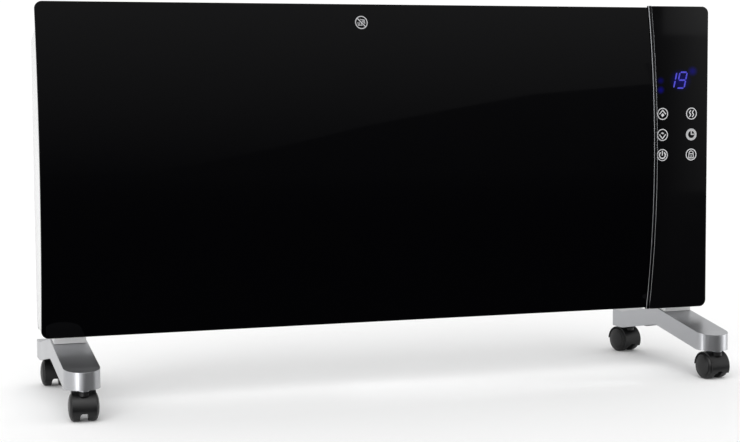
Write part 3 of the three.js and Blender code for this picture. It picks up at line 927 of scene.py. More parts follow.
def around(centre: Point, points: Iterable[Point]) -> list[Point]:
    """Moves points that are given about a centre to their place."""
    return [(centre[0] + u, centre[1] + v) for u, v in points]


class Symbol(Enum):
    """The touch keys' symbols."""

    UP = "warmer"
    DOWN = "cooler"
    POWER = "standby"
    HEAT = "heat level"
    TIMER = "timer"
    LOCK = "child lock"


@dataclass(frozen=True)
class TouchKeys(Assembly):
    """Ringed key symbols on the control glass."""

    ring_outer: float = 7.4
    ring_width: float = 1.05
    line: float = 1.3
    left_x: float = 765.4
    right_x: float = 805.5
    rows: tuple[float, float, float] = (241.0, 215.0, 190.0)
    wave_sway: float = 0.85
    wave_height: float = 8.6
    wave_steps: int = 18

    def heat_wave(self, u: float) -> list[Point]:
        """Points down one rising wave, at u across from the key's centre."""
        steps = self.wave_steps
        top = self.wave_height / 2
        turns = [i / steps * 3 * math.pi for i in range(steps + 1)]
        heights = [top - i * self.wave_height / steps for i in range(steps + 1)]
        return [(u + self.wave_sway * math.cos(a), v) for a, v in zip(turns, heights)]

    def draw(self, drawing: Drawing, symbol: Symbol, at: Point) -> None:
        """Draws one symbol without its ring.

        Args:
            drawing: takes the marks.
            symbol: which symbol.
            at: its centre.
        """
        if symbol is Symbol.UP:
            drawing.stroke(around(at, [(-4.4, -0.4), (0, 4.5), (4.4, -0.4)]), self.line)
            drawing.patch(around(at, [(0, 0.9), (2.5, -1.6), (0, -4.0), (-2.5, -1.6)]))
        elif symbol is Symbol.DOWN:
            drawing.stroke(around(at, [(-4.4, 0.6), (0, -4.6), (4.4, 0.6)]), self.line)
            drawing.patch(around(at, [(0, 3.2), (2.5, 2.0), (0, 1.0), (-2.5, 2.0)]))
        elif symbol is Symbol.POWER:
            drawing.ring(at, 4.9, 1.6, 125, 415)
            drawing.stroke(around(at, [(0, 5.3), (0, -0.6)]), 1.5)
        elif symbol is Symbol.HEAT:
            for u in (-1.9, 2.1):
                drawing.stroke(around(at, self.heat_wave(u)), 1.2)
        elif symbol is Symbol.TIMER:
            drawing.ring(at, self.ring_outer - self.ring_width, 1.9)
            drawing.stroke(around(at, [(0, 4.6), (0, 0.2), (3.9, 0.2)]), 1.5)
        else:
            drawing.ring((at[0], at[1] + 1.7), 3.3, 0.95, 0, 180)
            drawing.stroke(around(at, [(-3.6, 0.9), (3.6, 0.9)]), 1.0)
            drawing.stroke(around(at, [(-3.1, 0.2), (-3.1, -4.2), (3.1, -4.2), (3.1, 0.2)]), 1.0)
            drawing.stroke(around(at, [(0, -0.9), (0, -2.9)]), 1.0)

    def build(self) -> None:
        """Draws the keys as two prints: the timer's is dimmer."""
        bright, dim = (Drawing(lambda x, z, out: DATUM.at(x, -out, z)) for _ in range(2))
        columns = {
            self.left_x: (Symbol.UP, Symbol.DOWN, Symbol.POWER),
            self.right_x: (Symbol.HEAT, Symbol.TIMER, Symbol.LOCK),
        }
        for x, symbols in columns.items():
            for symbol, z in zip(symbols, self.rows):
                drawing = dim if symbol is Symbol.TIMER else bright
                drawing.ring((x, z), self.ring_outer, self.ring_width)
                self.draw(drawing, symbol, (x, z))
        self.fit(bright.finish("touch_key_symbols", INK), ROOT, "white_paint")
        self.fit(dim.finish("timer_key_symbol", INK_DIM), ROOT, "white_paint")


@dataclass(frozen=True)
class Digits(Assembly):
    """Two slanted seven-segment digits that show a temperature."""

    height: float = 19.5
    width: float = 10.0
    pitch: float = 14.4
    left: float = 770.4
    base: float = 272.8
    slant: float = 0.22
    bar: float = 1.9
    gap: float = 0.5

    SEGMENTS = {
        "a": ((0, 1), (1, 1)),
        "b": ((1, 1), (1, 0.5)),
        "c": ((1, 0.5), (1, 0)),
        "d": ((0, 0), (1, 0)),
        "e": ((0, 0.5), (0, 0)),
        "f": ((0, 1), (0, 0.5)),
        "g": ((0, 0.5), (1, 0.5)),
    }
    NUMERALS = {"1": "bc", "9": "abcdfg"}

    def segment(self, drawing: Drawing, left: float, ends: tuple[Point, Point]) -> None:
        """Draws one pointed bar.

        Args:
            drawing: takes the bar.
            left: left side of its digit, at the foot.
            ends: its two ends in digit widths and heights.
        """
        first, last = (Vector((u * self.width, v * self.height)) for u, v in ends)
        along = (last - first).normalized()
        side = Vector((-along.y, along.x)) * self.bar / 2
        first, last = first + along * self.gap, last - along * self.gap
        tip = along * self.bar / 2
        upper = [first, first + tip + side, last - tip + side]
        lower = [last, last - tip - side, first + tip - side]
        drawing.patch([(left + p.x + p.y * self.slant, self.base + p.y) for p in upper + lower])

    def build(self, shown: str = "19") -> None:
        """Draws the digits.

        Args:
            shown: the numerals to light.
        """
        drawing = Drawing(lambda x, z, out: DATUM.at(x, -out, z))
        for place, numeral in enumerate(shown):
            for letter in self.NUMERALS[numeral]:
                self.segment(drawing, self.left + place * self.pitch, self.SEGMENTS[letter])
        self.fit(drawing.finish("display_digits", SEGMENT), ROOT, "black_glass")


@dataclass(frozen=True)
class CoverWarning(Assembly):
    """Ringed do-not-cover pictogram on the bowed glass."""

    centre: Point = (373.5, 350.8)
    outer: float = 7.6
    width: float = 1.1

    def build(self) -> None:
        """Draws the ring, its bar and a small heater under a cloth."""
        drawing = Drawing(lambda x, z, out: DATUM.at(x, BOW.face_y(z) - out, z))
        reach = (self.outer - self.width) * math.sqrt(0.5)
        drawing.ring(self.centre, self.outer, self.width)
        drawing.stroke(around(self.centre, [(-reach, reach), (reach, -reach)]), 1.2)
        drawing.stroke(around(self.centre, [(-4.2, 0.4), (-3.9, -3.2), (1.2, -3.2)]), 0.8)
        drawing.stroke(around(self.centre, [(-1.4, 3.6), (3.6, 3.0), (4.2, -1.6)]), 0.8)
        for u in (-2.2, 0.0):
            drawing.stroke(around(self.centre, [(u, -0.9 - u * 0.4), (u, -2.5)]), 0.7)
        for u in (1.2, 2.8):
            drawing.stroke(around(self.centre, [(u, 2.4), (u, 0.6 - u * 0.3)]), 0.7)
        self.fit(drawing.finish("cover_warning_symbol", INK_DIM), ROOT, "white_paint")


# ---------------------------------------------------------------- front
@dataclass(frozen=True)
class GlassFront(Assembly):
    """The bowed main glass, the flat control glass and the trim between them."""

    thick: float = 4.0
    corner: float = 8.5
    polished_edge: float = 0.7
    main_right: float = 745.3
    control_left: float = 750.5
    panel_right: float = 828.0
    overhang: float = 1.5
    trim_left: float = 745.6
    trim_right: float = 750.2
    trim_proud: float = 1.5
    trim_nib: float = 2.0
    trim_back: float = 6.0
    trim_edge: float = 0.6
    bands: int = 60

    # Soft lights behind the control glass: x, z, half width, half height and strength.
    SPOTS = (
        (790.0, 282.5, 17.0, 15.5, 0.14),  # round the digits
        (762.6, 270.5, 6.2, 6.0, 0.22),  # the lower of two signal lamps to their left
        (762.4, 282.0, 6.0, 5.6, 0.12),  # the upper one
        (806.5, 293.5, 8.5, 7.5, 0.18),  # the lamp at their upper right
    )

    def outline(
        self, left: float, right: float, low: float, high: float, rounded_left: bool
    ) -> list[Point]:
        """Outline of a glass in x and z, with one side's corners rounded."""
        r = self.corner
        if rounded_left:
            lower = arc(left + r, low + r, r, 180, 270, 10)
            upper = arc(left + r, high - r, r, 90, 180, 10)
            return lower + [(right, low), (right, high)] + upper
        lower = arc(right - r, low + r, r, 270, 360, 10)
        upper = arc(right - r, high - r, r, 0, 90, 10)
        return [(left, low)] + lower + upper + [(left, high)]

    def plate(
        self, name: str, outline: Sequence[Point], bowed: bool, finish: Finish
    ) -> bpy.types.Object:
        """Makes a glass with polished edges.

        Args:
            name: the piece's name.
            outline: its outline in x and z.
            bowed: whether it follows the bow.
            finish: its finish.

        Returns:
            The new object.
        """
        mesh = bmesh.new()
        mesh.faces.new([mesh.verts.new(DATUM.at(x, 0, z)) for x, z in outline])
        if bowed:
            levels = [DATUM.at(0, 0, BOW.height * i / self.bands).z for i in range(1, self.bands)]
            slice_up(mesh, 2, levels)
        back = bmesh.ops.extrude_face_region(mesh, geom=mesh.faces[:])
        rear = {v for v in back["geom"] if isinstance(v, bmesh.types.BMVert)}
        for vert in mesh.verts:
            inward = self.thick if vert in rear else 0.0
            z = (vert.co.z - DATUM.base) / MM
            y = BOW.face_y(z, inward) if bowed else inward
            vert.co.y = DATUM.at(0, y, 0).y
        return round_edges(new_piece(name, mesh, [finish]), self.polished_edge, over_deg=60)

    def trim(self) -> bpy.types.Object:
        """Makes the trim: a bar that follows the bow, with bright edges.

        Returns:
            The new object.
        """
        low, high = -self.trim_nib, BOW.height + self.trim_nib
        heights = [low + (high - low) * i / self.bands for i in range(self.bands + 1)]
        outline = [(BOW.face_y(z, -self.trim_proud), z) for z in heights]
        outline += [(self.trim_back, high), (self.trim_back, low)]
        width = Vector(((self.trim_right - self.trim_left) * MM, 0, 0))
        corners = [DATUM.at(self.trim_left, y, z) for y, z in outline]
        piece = straight("divider_trim_bar", corners, width, TRIM)
        piece.data.materials.append(BRIGHT_EDGE.material())
        return round_edges(piece, self.trim_edge, over_deg=60, slot=1)

    def glows(self) -> tuple[Glow, ...]:
        """The soft lights at their places in the scene."""
        return tuple(Glow(tuple(DATUM.at(x, 0, z)), *rest) for x, z, *rest in self.SPOTS)

    def build(self) -> None:
        """Builds the two glasses and the trim."""
        main = self.outline(0, self.main_right, 0, BOW.height, True)
        pane = self.plate("main_glass_pane", main, True, GLASS)
        self.fit(pane, ROOT, "black_glass", "main_glass")
        low, high = -self.overhang, BOW.height + self.overhang
        # The same black glass, a shade greyer from the lamps behind it.
        lit = LitGlass(
            "toughened_glass_lit", "#070708", 0.04, specular=0.05, grain=Grain.POLISHED,
            gloss_spread=0.01, glows=self.glows(),
        )
        control = self.outline(self.control_left, self.panel_right, low, high, False)
        pane = self.plate("control_glass_pane", control, False, lit)
        self.fit(pane, ROOT, "black_glass", "control_glass")
        self.fit(self.trim(), ROOT, "dark_trim", "divider_trim")


# ---------------------------------------------------------------- casing
@dataclass(frozen=True)
class Grille:
    """A plate with slots between bars: where it lies and how its bars are spaced."""

    node: str
    bars: int
    bar_width: float
    slot_length: float


@dataclass(frozen=True)
class Casing(Assembly):
    """The white sheet-steel casing, its grilles, louvres and screws."""

    fold: float = 0.5
    vent_columns: int = 12
    vent_rows: tuple[float, ...] = (24.0, 34.0, 300.0, 310.0)
    vent_pitch: float = 640 / 12
    vent_left: float = 60.0
    lip_length: float = 42.0
    lip_rise: float = 2.2
    lip_height: float = 4.4
    lip_above: float = 1.6
    screw_head: float = 4.0
    screw_rise: float = 2.4
    shank: float = 2.0
    shank_length: float = 10.0
    recess_arm: float = 2.0
    recess_half: float = 0.45
    recess_floor: float = 0.4
    plate_thick: float = 1.2
    plate_margin: float = 9.0
    bar_proud: float = 0.8
    overlap: float = 0.2

    def louvres(self) -> bpy.types.Object:
        """Makes the pressed lips over the rear vents.

        Returns:
            The lips as one object.
        """
        back = (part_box("rear_casing")[1][1] - DATUM.face) / MM
        section = arc(0, 0, 1.0, 0, 90, 6) + [(0, 0)]
        half = self.lip_length / 2
        rise, height = self.lip_rise, self.lip_height
        outline = [Vector((-half * MM, u * rise * MM, v * height * MM)) for u, v in section]
        lip = straight("louvre_lip", outline, Vector((self.lip_length * MM, 0, 0)), POWDER_WHITE)
        round_edges(lip, 0.4, segments=2)
        rows = []
        for i, z in enumerate(self.vent_rows):
            start = DATUM.at(self.vent_left + self.vent_pitch / 2, back + 0.02, z + self.lip_above)
            grid = CopyGrid(self.vent_columns, start, Vector((self.vent_pitch * MM, 0, 0)))
            last = z == self.vent_rows[-1]
            rows.append(grid.build(f"louvre_row_{i}", lip, POWDER_WHITE, keep=not last))
        return merge("casing_louvres", rows)

    def screw(self) -> bpy.types.Object:
        """Makes a pan-head screw with a cross recess: its seat at the origin, its head to the rear.

        Returns:
            The new object.
        """
        head, rise, half = self.screw_head, self.screw_rise, self.recess_half
        turn = Vector((1, 0, 0)).rotation_difference(Vector((0, 1, 0))).to_matrix().to_4x4()
        place = turn @ Matrix.Scale(MM, 4)
        tip, shank = -self.shank_length, self.shank
        crown = [(rise * math.sin(a), head * math.cos(a)) for a in (0.0, 0.35, 0.7, 1.0, 1.25)]
        profile = [(tip, 0), (tip, shank), (0, shank), (0, head)] + crown + [(rise, 0)]
        screw = turned("rear_screw", profile, place, ZINC, 24)
        quarter = [(half, -half), (self.recess_arm, -half), (self.recess_arm, half)]
        cross = []
        for u, v in ((1, 0), (0, 1), (-1, 0), (0, -1)):
            cross += [(a * u - b * v, a * v + b * u) for a, b in quarter]
        floor = [place @ Vector((rise * self.recess_floor, a, b)) for a, b in cross]
        recess = straight("cross_recess", floor, place.to_3x3() @ Vector((rise, 0, 0)), ZINC)
        return carve(screw, recess)

    def casing_screws(self) -> None:
        """Sets the four rear screws, each turned its own way."""
        low, high = box_of("casing_screw_lower_left"), box_of("casing_screw_upper_right")
        centre_low, centre_high = (low[0] + low[1]) / 2, (high[0] + high[1]) / 2
        seat = high[1].y - self.screw_rise * MM
        grid = CopyGrid(
            2,
            Vector((centre_low.x, seat, centre_low.z)),
            Vector((centre_high.x - centre_low.x, 0, 0)),
            2,
            Vector((0, 0, centre_high.z - centre_low.z)),
            turn=math.pi,
        )
        places = [f"{level}_{side}" for level in ("lower", "upper") for side in ("left", "right")]
        nodes = [f"casing_screw_{place}" for place in places]
        self.fit(grid.build("casing_screws", self.screw(), ZINC), ROOT, "steel", *nodes)

    def grille(self, spec: Grille) -> None:
        """Builds a slotted plate from its edges and its bars.

        Args:
            spec: which grille.
        """
        low, high = box_of(spec.node)
        size = (high - low) / MM
        thin = self.plate_thick
        slope = math.atan2(size.z - thin, size.y) if size.z > 2 * thin else 0.0
        centre = (low + high) / 2
        depth = size.y / math.cos(slope)
        rail = (depth - spec.slot_length) / 2
        margin = self.plate_margin
        reach = spec.slot_length + self.overlap
        span = size.x - 2 * margin
        tilt = Matrix.Translation(centre) @ Matrix.Rotation(-slope, 4, "X")
        parts = []
        sides = (
            ("rail", (size.x, rail, thin), Vector((0, (depth - rail) / 2 * MM, 0))),
            ("end", (margin, reach, thin), Vector(((size.x - margin) / 2 * MM, 0, 0))),
        )
        for sign in (-1, 1):
            for word, measures, middle in sides:
                name = f"{spec.node}_{word}"
                parts.append(small_box(name, measures, ABS_BLACK, 0.3, sign * middle))
        size = (spec.bar_width, reach, thin + self.bar_proud)
        bar = small_box(f"{spec.node}_bar", size, ABS_BLACK, 0.5)
        pitch = span / spec.bars
        start = Vector((-(span - pitch) / 2 * MM, 0, 0))
        grid = CopyGrid(spec.bars, start, Vector((pitch * MM, 0, 0)))
        parts.append(grid.build(f"{spec.node}_bars", bar, ABS_BLACK))
        piece = merge(f"{spec.node}_slats", parts)
        piece.data.transform(tilt)
        self.fit(piece, ROOT, "black_plastic", spec.node)

    def build(self) -> None:
        """Builds the casing and what is fixed in it."""
        shell = cad_copy("rear_casing", "casing_shell", [POWDER_WHITE], self.fold, over_mm=60)
        self.fit(shell, ROOT, "white_paint", "rear_casing")
        self.fit(self.louvres(), ROOT, "white_paint")
        self.grille(Grille("outlet_grille", 58, 5.2, 24.0))
        self.grille(Grille("inlet_grille", 40, 5.0, 22.0))
        self.casing_screws()
        self.dress("front_frame", "glass_carrier", ABS_BLACK, 0.4, "black_plastic")


# ---------------------------------------------------------------- inside
@dataclass(frozen=True)
class HeatingSet(Assembly):
    """Finned bars, their rods, bushes and brackets, and the shield."""

    fin_pitch: float = 5.0
    fin_thick: float = 1.4
    wing: float = 22.0
    wing_thick: float = 2.0
    core: float = 7.0
    bore: float = 4.5

    def bar(self, level: str) -> None:
        """Builds one finned bar.

        Args:
            level: lower or upper.
        """
        node = f"heating_bar_{level}"
        low, high = box_of(node)
        centre = (low + high) / 2
        length = (high.x - low.x) / MM
        root = self.core - 1
        half, t = self.fin_thick / 2, self.wing_thick / 2
        mesh = bmesh.new()
        for quarter in range(4):
            turn = Matrix.Rotation(math.radians(45 + 90 * quarter), 4, "X") @ Matrix.Scale(MM, 4)
            corners = [(-half, -t, root), (half, -t, root), (half, t, root), (-half, t, root)]
            rise = turn.to_3x3() @ Vector((0, 0, self.wing - self.core + 1))
            prism(mesh, [turn @ Vector(c) for c in corners], rise)
        fin = new_piece(f"{node}_fin", mesh, [MILL_ALUMINIUM])
        count = int(length / self.fin_pitch)
        start = centre - Vector(((count - 1) * self.fin_pitch / 2 * MM, 0, 0))
        grid = CopyGrid(count, start, Vector((self.fin_pitch * MM, 0, 0)))
        fins = grid.build(f"{node}_fins", fin, MILL_ALUMINIUM)
        place = Matrix.Translation(centre) @ Matrix.Scale(MM, 4)
        end = length / 2
        profile = [(-end, self.bore), (-end, self.core), (end, self.core), (end, self.bore)]
        tube = turned(f"{node}_core", profile, place, MILL_ALUMINIUM)
        self.fit(merge(f"{node}_finned", [tube, fins]), ROOT, "aluminium", node)

    def build(self) -> None:
        """Builds the heating parts."""
        for level in ("lower", "upper"):
            self.bar(level)
            self.dress(f"heating_rod_{level}", f"sheathed_rod_{level}", ZINC, 0.3, "steel")
            for side in ("left", "right"):
                node = f"ceramic_bush_{level}_{side}"
                self.dress(node, f"{node}_turned", STEATITE, 0.4, "ceramic")
        for side in ("left", "right"):
            node = f"element_bracket_{side}"
            self.dress(node, f"{node}_folded", ZINC, 0.25, "steel")
        self.dress("heat_shield", "heat_shield_sheet", MILL_ALUMINIUM, 0.2, "aluminium")
        self.dress("thermal_cut_out", "thermal_cut_out_can", ZINC, 0.3, "steel")


@dataclass(frozen=True)
class Electrics(Assembly):
    """Boards, switches, sensor, terminals and gland."""

    laminate: float = 1.8
    front_part_height: float = 8.0

    # Moulded parts: CAD node, piece, finish, edge radius and material slot.
    HOUSINGS = (
        ("display_module", "display_housing", ABS_BLACK, 0.3, "black_plastic"),
        ("terminal_block", "terminal_housing", POLYAMIDE, 0.5, "pale_plastic"),
        ("room_sensor", "room_sensor_bulb", ABS_BLACK, 0.3, "black_plastic"),
        ("tip_switch", "tip_switch_housing", POLYAMIDE, 0.6, "pale_plastic"),
        ("switch_body", "switch_housing", ABS_BLACK, 0.5, "black_plastic"),
        ("cord_gland", "cord_gland_bush", ABS_BLACK, 0.5, "black_plastic"),
    )

    def board(self, node: str, name: str, behind: bool) -> None:
        """Dresses a board: green laminate with dark parts on it.

        Args:
            node: the CAD node.
            name: the piece's name.
            behind: whether the parts stand behind the laminate rather than in front.
        """
        piece = cad_copy(node, name, [SOLDER_MASK, ABS_BLACK], 0.15)
        low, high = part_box(node)
        laminate = self.laminate * MM
        for face in piece.data.polygons:
            y = face.center.y
            if behind:
                on_part = y > low[1] + laminate
            else:
                on_part = y < high[1] - self.front_part_height * MM - laminate
            face.material_index = int(on_part)
        self.fit(piece, ROOT, "board_green", node)

    def build(self) -> None:
        """Builds the electrical parts."""
        self.board("power_board", "power_board_parts", False)
        self.board("touch_board", "touch_board_parts", True)
        for housing in self.HOUSINGS:
            self.dress(*housing)
        self.dress("switch_rocker", "rocker_key", ABS_BLACK, 0.4, "black_plastic", body="rocker")


# ---------------------------------------------------------------- feet
@dataclass(frozen=True)
class Foot(Assembly):
    """An arched die-cast foot, hollow underneath."""

    side: str
    width: float = 40.0
    nose: float = 22.0
    front: float = -84.0
    rear: float = 162.0
    apex_y: float = 42.0
    apex_half: float = 8.0
    apex_top: float = -6.0
    apex_dip: float = 0.4
    apex_fall: float = 1.4
    end_top: float = -23.0
    thick: float = 22.0
    level: float = 26.0
    bend: Point = (-64.0, -23.3)
    nose_top: float = -25.6
    seat_y: float = -62.0
    wall: float = 3.5
    bosses: tuple[Point, ...] = ((-77.0, 6.2), (153.0, 8.0))
    boss_bore: float = 4.3
    boss_foot: float = 0.3
    blend_reach: float = 2.5
    blend_samples: int = 5
    edge: float = 1.1
    past_front: float = 60.0
    past_rear: float = 50.0
    slices: int = 96
    nose_steps: int = 28

    @property
    def arch(self) -> list[Point]:
        """The top face's (y, z) corners from the bend's rear to beyond the rear end."""
        side = self.apex_top - self.apex_fall
        return [
            (self.apex_y - self.apex_half, side),
            (self.apex_y, self.apex_top - self.apex_dip),
            (self.apex_y + self.apex_half, side),
            (self.rear - self.level, self.end_top),
            (self.rear + self.past_rear, self.end_top),
        ]

    @property
    def top(self) -> list[Point]:
        """The top face's corners: its front arm keeps falling to the nose."""
        y, z = self.bend
        slope = (z - self.nose_top) / (y - self.front + 1)
        return [(y - self.past_front, z - self.past_front * slope), self.bend, *self.arch]

    @property
    def under(self) -> list[Point]:
        """The underside's corners: level over both castors."""
        seat = self.end_top - self.thick
        level = [(self.front - self.past_front, seat), (self.seat_y, seat)]
        return level + [(y, z - self.thick) for y, z in self.arch]

    def height_at(self, corners: Sequence[Point], y: float) -> float:
        """Height of a face at y: straight runs with small bends between them."""
        samples = self.blend_samples
        total = 0.0
        for i in range(samples):
            at = y + self.blend_reach * (2 * i / (samples - 1) - 1)
            for (y0, z0), (y1, z1) in zip(corners, corners[1:]):
                if y0 <= at <= y1:
                    total += z0 + (z1 - z0) * (at - y0) / (y1 - y0)
                    break
        return total / samples

    def plan(self, inset: float) -> list[Point]:
        """Plan outline: square at the rear, half an ellipse at the nose."""
        half = self.width / 2 - inset
        depth = self.nose - inset
        steps = self.nose_steps
        angles = [math.pi + math.pi * i / steps for i in range(steps + 1)]
        centre = self.front + self.nose
        curve = [(half * math.cos(a), centre + depth * math.sin(a)) for a in angles]
        return [(half, self.rear - inset), (-half, self.rear - inset)] + curve

    def shell(self, middle: float, inset: float, drop: float = 0.0) -> bmesh.types.BMesh:
        """Makes the solid casting or, with a drop, the pocket inside it.

        Args:
            middle: x of the foot's middle.
            inset: how far the plan is drawn in.
            drop: how far below the two faces it lies.

        Returns:
            The solid's mesh.
        """
        mesh = bmesh.new()
        mesh.faces.new([mesh.verts.new(DATUM.at(middle + x, y, 0)) for x, y in self.plan(inset)])
        span, count = self.rear - self.front, self.slices
        cuts = [self.front + span * i / count for i in range(1, count)]
        slice_up(mesh, 1, [DATUM.at(0, y, 0).y for y in cuts])
        lower = bmesh.ops.extrude_face_region(mesh, geom=mesh.faces[:])
        under = {v for v in lower["geom"] if isinstance(v, bmesh.types.BMVert)}
        for vert in mesh.verts:
            y = (vert.co.y - DATUM.face) / MM
            z = self.height_at(self.under if vert in under else self.top, y) - drop
            vert.co.z = DATUM.at(0, 0, z).z
        bmesh.ops.recalc_face_normals(mesh, faces=mesh.faces)
        return mesh

    def build(self) -> None:
        """Builds the casting, its pad and its screws."""
        node = f"foot_{self.side}"
        low, high = box_of(node)
        middle = ((low.x + high.x) / 2 - DATUM.left) / MM
        body = new_piece(f"{node}_casting", self.shell(middle, 0), [SILVER_PAINT])
        carve(body, new_piece("pocket", self.shell(middle, self.wall, self.wall), [SILVER_PAINT]))
        round_edges(body, self.edge, over_deg=50)
        bosses = []
        bore, foot, reach = self.boss_bore, self.boss_foot, self.thick - self.wall - 0.5
        up = Matrix.Rotation(math.radians(-90), 4, "Y")
        for y, radius in self.bosses:
            seat = Matrix.Translation(DATUM.at(middle, y, self.end_top - self.thick))
            profile = [(foot, bore), (foot, radius), (reach, radius), (reach, bore)]
            bosses.append(turned("boss", profile, seat @ up @ Matrix.Scale(MM, 4), SILVER_PAINT))
        self.fit(merge(f"{node}_casting", [body, *bosses]), ROOT, "silver_feet", node)
        pad = f"foot_pad_{self.side}"
        self.dress(pad, f"{pad}_block", POWDER_WHITE, 0.6, "white_paint")
        for end in ("front", "rear"):
            screw = f"foot_screw_{end}_{self.side}"
            self.dress(screw, f"{screw}_zinc", ZINC, 0.4, "steel")


# ---------------------------------------------------------------- castors
@dataclass(frozen=True)
class Castor(Assembly):
    """A twin-wheel castor: stem, hood, axle and two domed wheels."""

    name: str
    trail: float = 9.0
    wheel: float = 15.5
    hood: float = 17.8
    hood_inner: float = 16.1
    hood_half: float = 13.0
    web_half: float = 4.0
    rear_edge: float = 3.0
    front_edge: float = 207.0
    dome: float = 16.8
    rim_end: float = 5.4
    bore_end: float = 12.3
    axle: float = 2.0
    axle_half: float = 12.0
    web_front: float = 188.0
    notch_half: float = 4.3
    notch_top: float = 10.2
    notch_corner: float = 2.5
    hub_radius: float = 5.5
    sector_steps: int = 36
    wheel_steps: int = 72
    boss_low: float = 13.2
    boss_bore: float = 3.1
    boss_radius: float = 6.2

    # The wheel's outer face, from its middle to its tread: depth below the dome's top, and radius.
    FACE = (
        (0.0, 0.0), (0.15, 4.0), (0.6, 7.6), (1.35, 10.6), (1.75, 11.7), (2.25, 11.9),
        (2.3, 12.5), (2.1, 12.8), (2.8, 14.0), (3.9, 15.0),
    )

    @property
    def place(self) -> Matrix:
        """From the castor's own millimetres, about the stem's foot, to scene metres."""
        joints = {joint["name"]: joint for joint in frame["joints"]}
        stem = joints[f"castor_{self.name}_swivel"]["pos_m"]
        along = joints[f"castor_{self.name}_roll_left"]["axis"]
        turn = Matrix.Rotation(math.atan2(along[1], along[0]), 4, "Z")
        return Matrix.Translation((stem[0], stem[1], 0)) @ turn @ Matrix.Scale(MM, 4)

    @property
    def axle_place(self) -> Matrix:
        """The same, with the middle of the axle at its origin."""
        return self.place @ Matrix.Translation((0, self.trail, self.wheel))

    def sector(
        self, name: str, radius: float, start: float, end: float, half: float, inner: float = 0.0
    ) -> bpy.types.Object:
        """Makes a slice of a disc or of a ring about the axle.

        Args:
            name: the piece's name.
            radius: outer radius.
            start: first angle in degrees, from straight behind and over the top.
            end: last angle.
            half: half its width along the axle.
            inner: inner radius; 0 makes a slice to the centre.

        Returns:
            The new object.
        """
        steps = self.sector_steps
        rim = arc(0, 0, radius, start, end, steps)
        inside = arc(0, 0, inner, start, end, steps)[::-1] if inner else [(0.0, 0.0)]
        place = self.axle_place
        outline = [place @ Vector((-half, u, v)) for u, v in rim + inside]
        return straight(name, outline, place.to_3x3() @ Vector((2 * half, 0, 0)), NYLON)

    def notch_piece(self) -> bpy.types.Object:
        """Makes the arch that is cut from the fender's front edge.

        Returns:
            The cutter.
        """
        half, r = self.notch_half, self.notch_corner
        level = self.notch_top - r
        outline = [(-half, 0.0), (half, 0.0)]
        outline += arc(half - r, level, r, 0, 90, 6) + arc(r - half, level, r, 90, 180, 6)
        front = self.trail - self.hood - 4
        near = [self.place @ Vector((x, front, z)) for x, z in outline]
        return straight("notch", near, self.place.to_3x3() @ Vector((0, 10, 0)), NYLON)

    def hood_piece(self) -> bpy.types.Object:
        """Makes the hood: fender, web, hub and stem boss.

        Returns:
            The hood as one object.
        """
        rear, front = self.rear_edge, self.front_edge
        fender = self.sector("fender", self.hood, rear, front, self.hood_half, self.hood_inner)
        parts = [round_edges(carve(fender, self.notch_piece()), 0.6, over_deg=50)]
        web = self.sector("web", self.hood - 0.6, rear + 2, self.web_front, self.web_half)
        parts.append(round_edges(web, 0.3, segments=2, over_deg=50))
        half, bore, radius = self.web_half, self.axle + 0.3, self.hub_radius
        profile = [(-half, bore), (-half, radius), (half, radius), (half, bore)]
        hub = turned("hub", profile, self.axle_place, NYLON)
        parts.append(round_edges(hub, 0.3, segments=2, over_deg=50))
        stem = self.place @ Matrix.Translation((0, 0, self.wheel))
        upright = stem @ Matrix.Rotation(math.radians(-90), 4, "Y")
        low, top, chamfer = self.boss_low, self.hood - 0.4, 0.6
        bore, radius = self.boss_bore, self.boss_radius
        profile = [(low, bore), (low, radius), (top - chamfer, radius)]
        profile += [(top, radius - chamfer), (top, bore)]
        parts.append(turned("boss", profile, upright, NYLON))
        return merge(f"castor_{self.name}_hood_moulding", parts)

    def wheel_piece(self, side: int) -> bpy.types.Object:
        """Makes a wheel with a domed face and a shallow ring on it.

        Args:
            side: -1 for the wheel at the castor's left, 1 for the other.

        Returns:
            The wheel.
        """
        inner, bore = self.web_half + 0.3, self.axle + 0.1
        r = self.wheel
        face = [(self.dome - depth, radius) for depth, radius in self.FACE]
        tread = [(self.dome - self.rim_end, r - 0.05), (inner + 5.0, r), (inner + 1.0, r)]
        back = [(inner + 0.3, r - 0.3), (inner, r - 1.0), (inner, bore), (self.bore_end, bore)]
        profile = [(self.bore_end, 0)] + face + tread + back
        place = self.axle_place @ Matrix.Rotation(0 if side > 0 else math.pi, 4, "Z")
        name = f"castor_{self.name}_tyre_{'right' if side > 0 else 'left'}"
        crisp = math.radians(40)
        return turned(name, profile, place, WHEEL_NYLON, self.wheel_steps, crisp)

    def build(self) -> None:
        """Builds the castor on its three bodies and its stem on the heater."""
        key = f"castor_{self.name}"
        self.fit(self.hood_piece(), key, "castor_black", f"{key}_hood")
        end = self.axle_half
        profile = [(-end, 0), (-end, self.axle), (end, self.axle), (end, 0)]
        axle = turned(f"{key}_axle_pin", profile, self.axle_place, ZINC)
        self.fit(round_edges(axle, 0.3, over_deg=50), key, "steel", f"{key}_axle")
        for side, word in ((-1, "left"), (1, "right")):
            wheel = f"{key}_wheel_{word}"
            self.fit(self.wheel_piece(side), wheel, "castor_black", wheel)
        self.dress(f"{key}_stem", f"{key}_stem_pin", ZINC, 0.3, "steel")


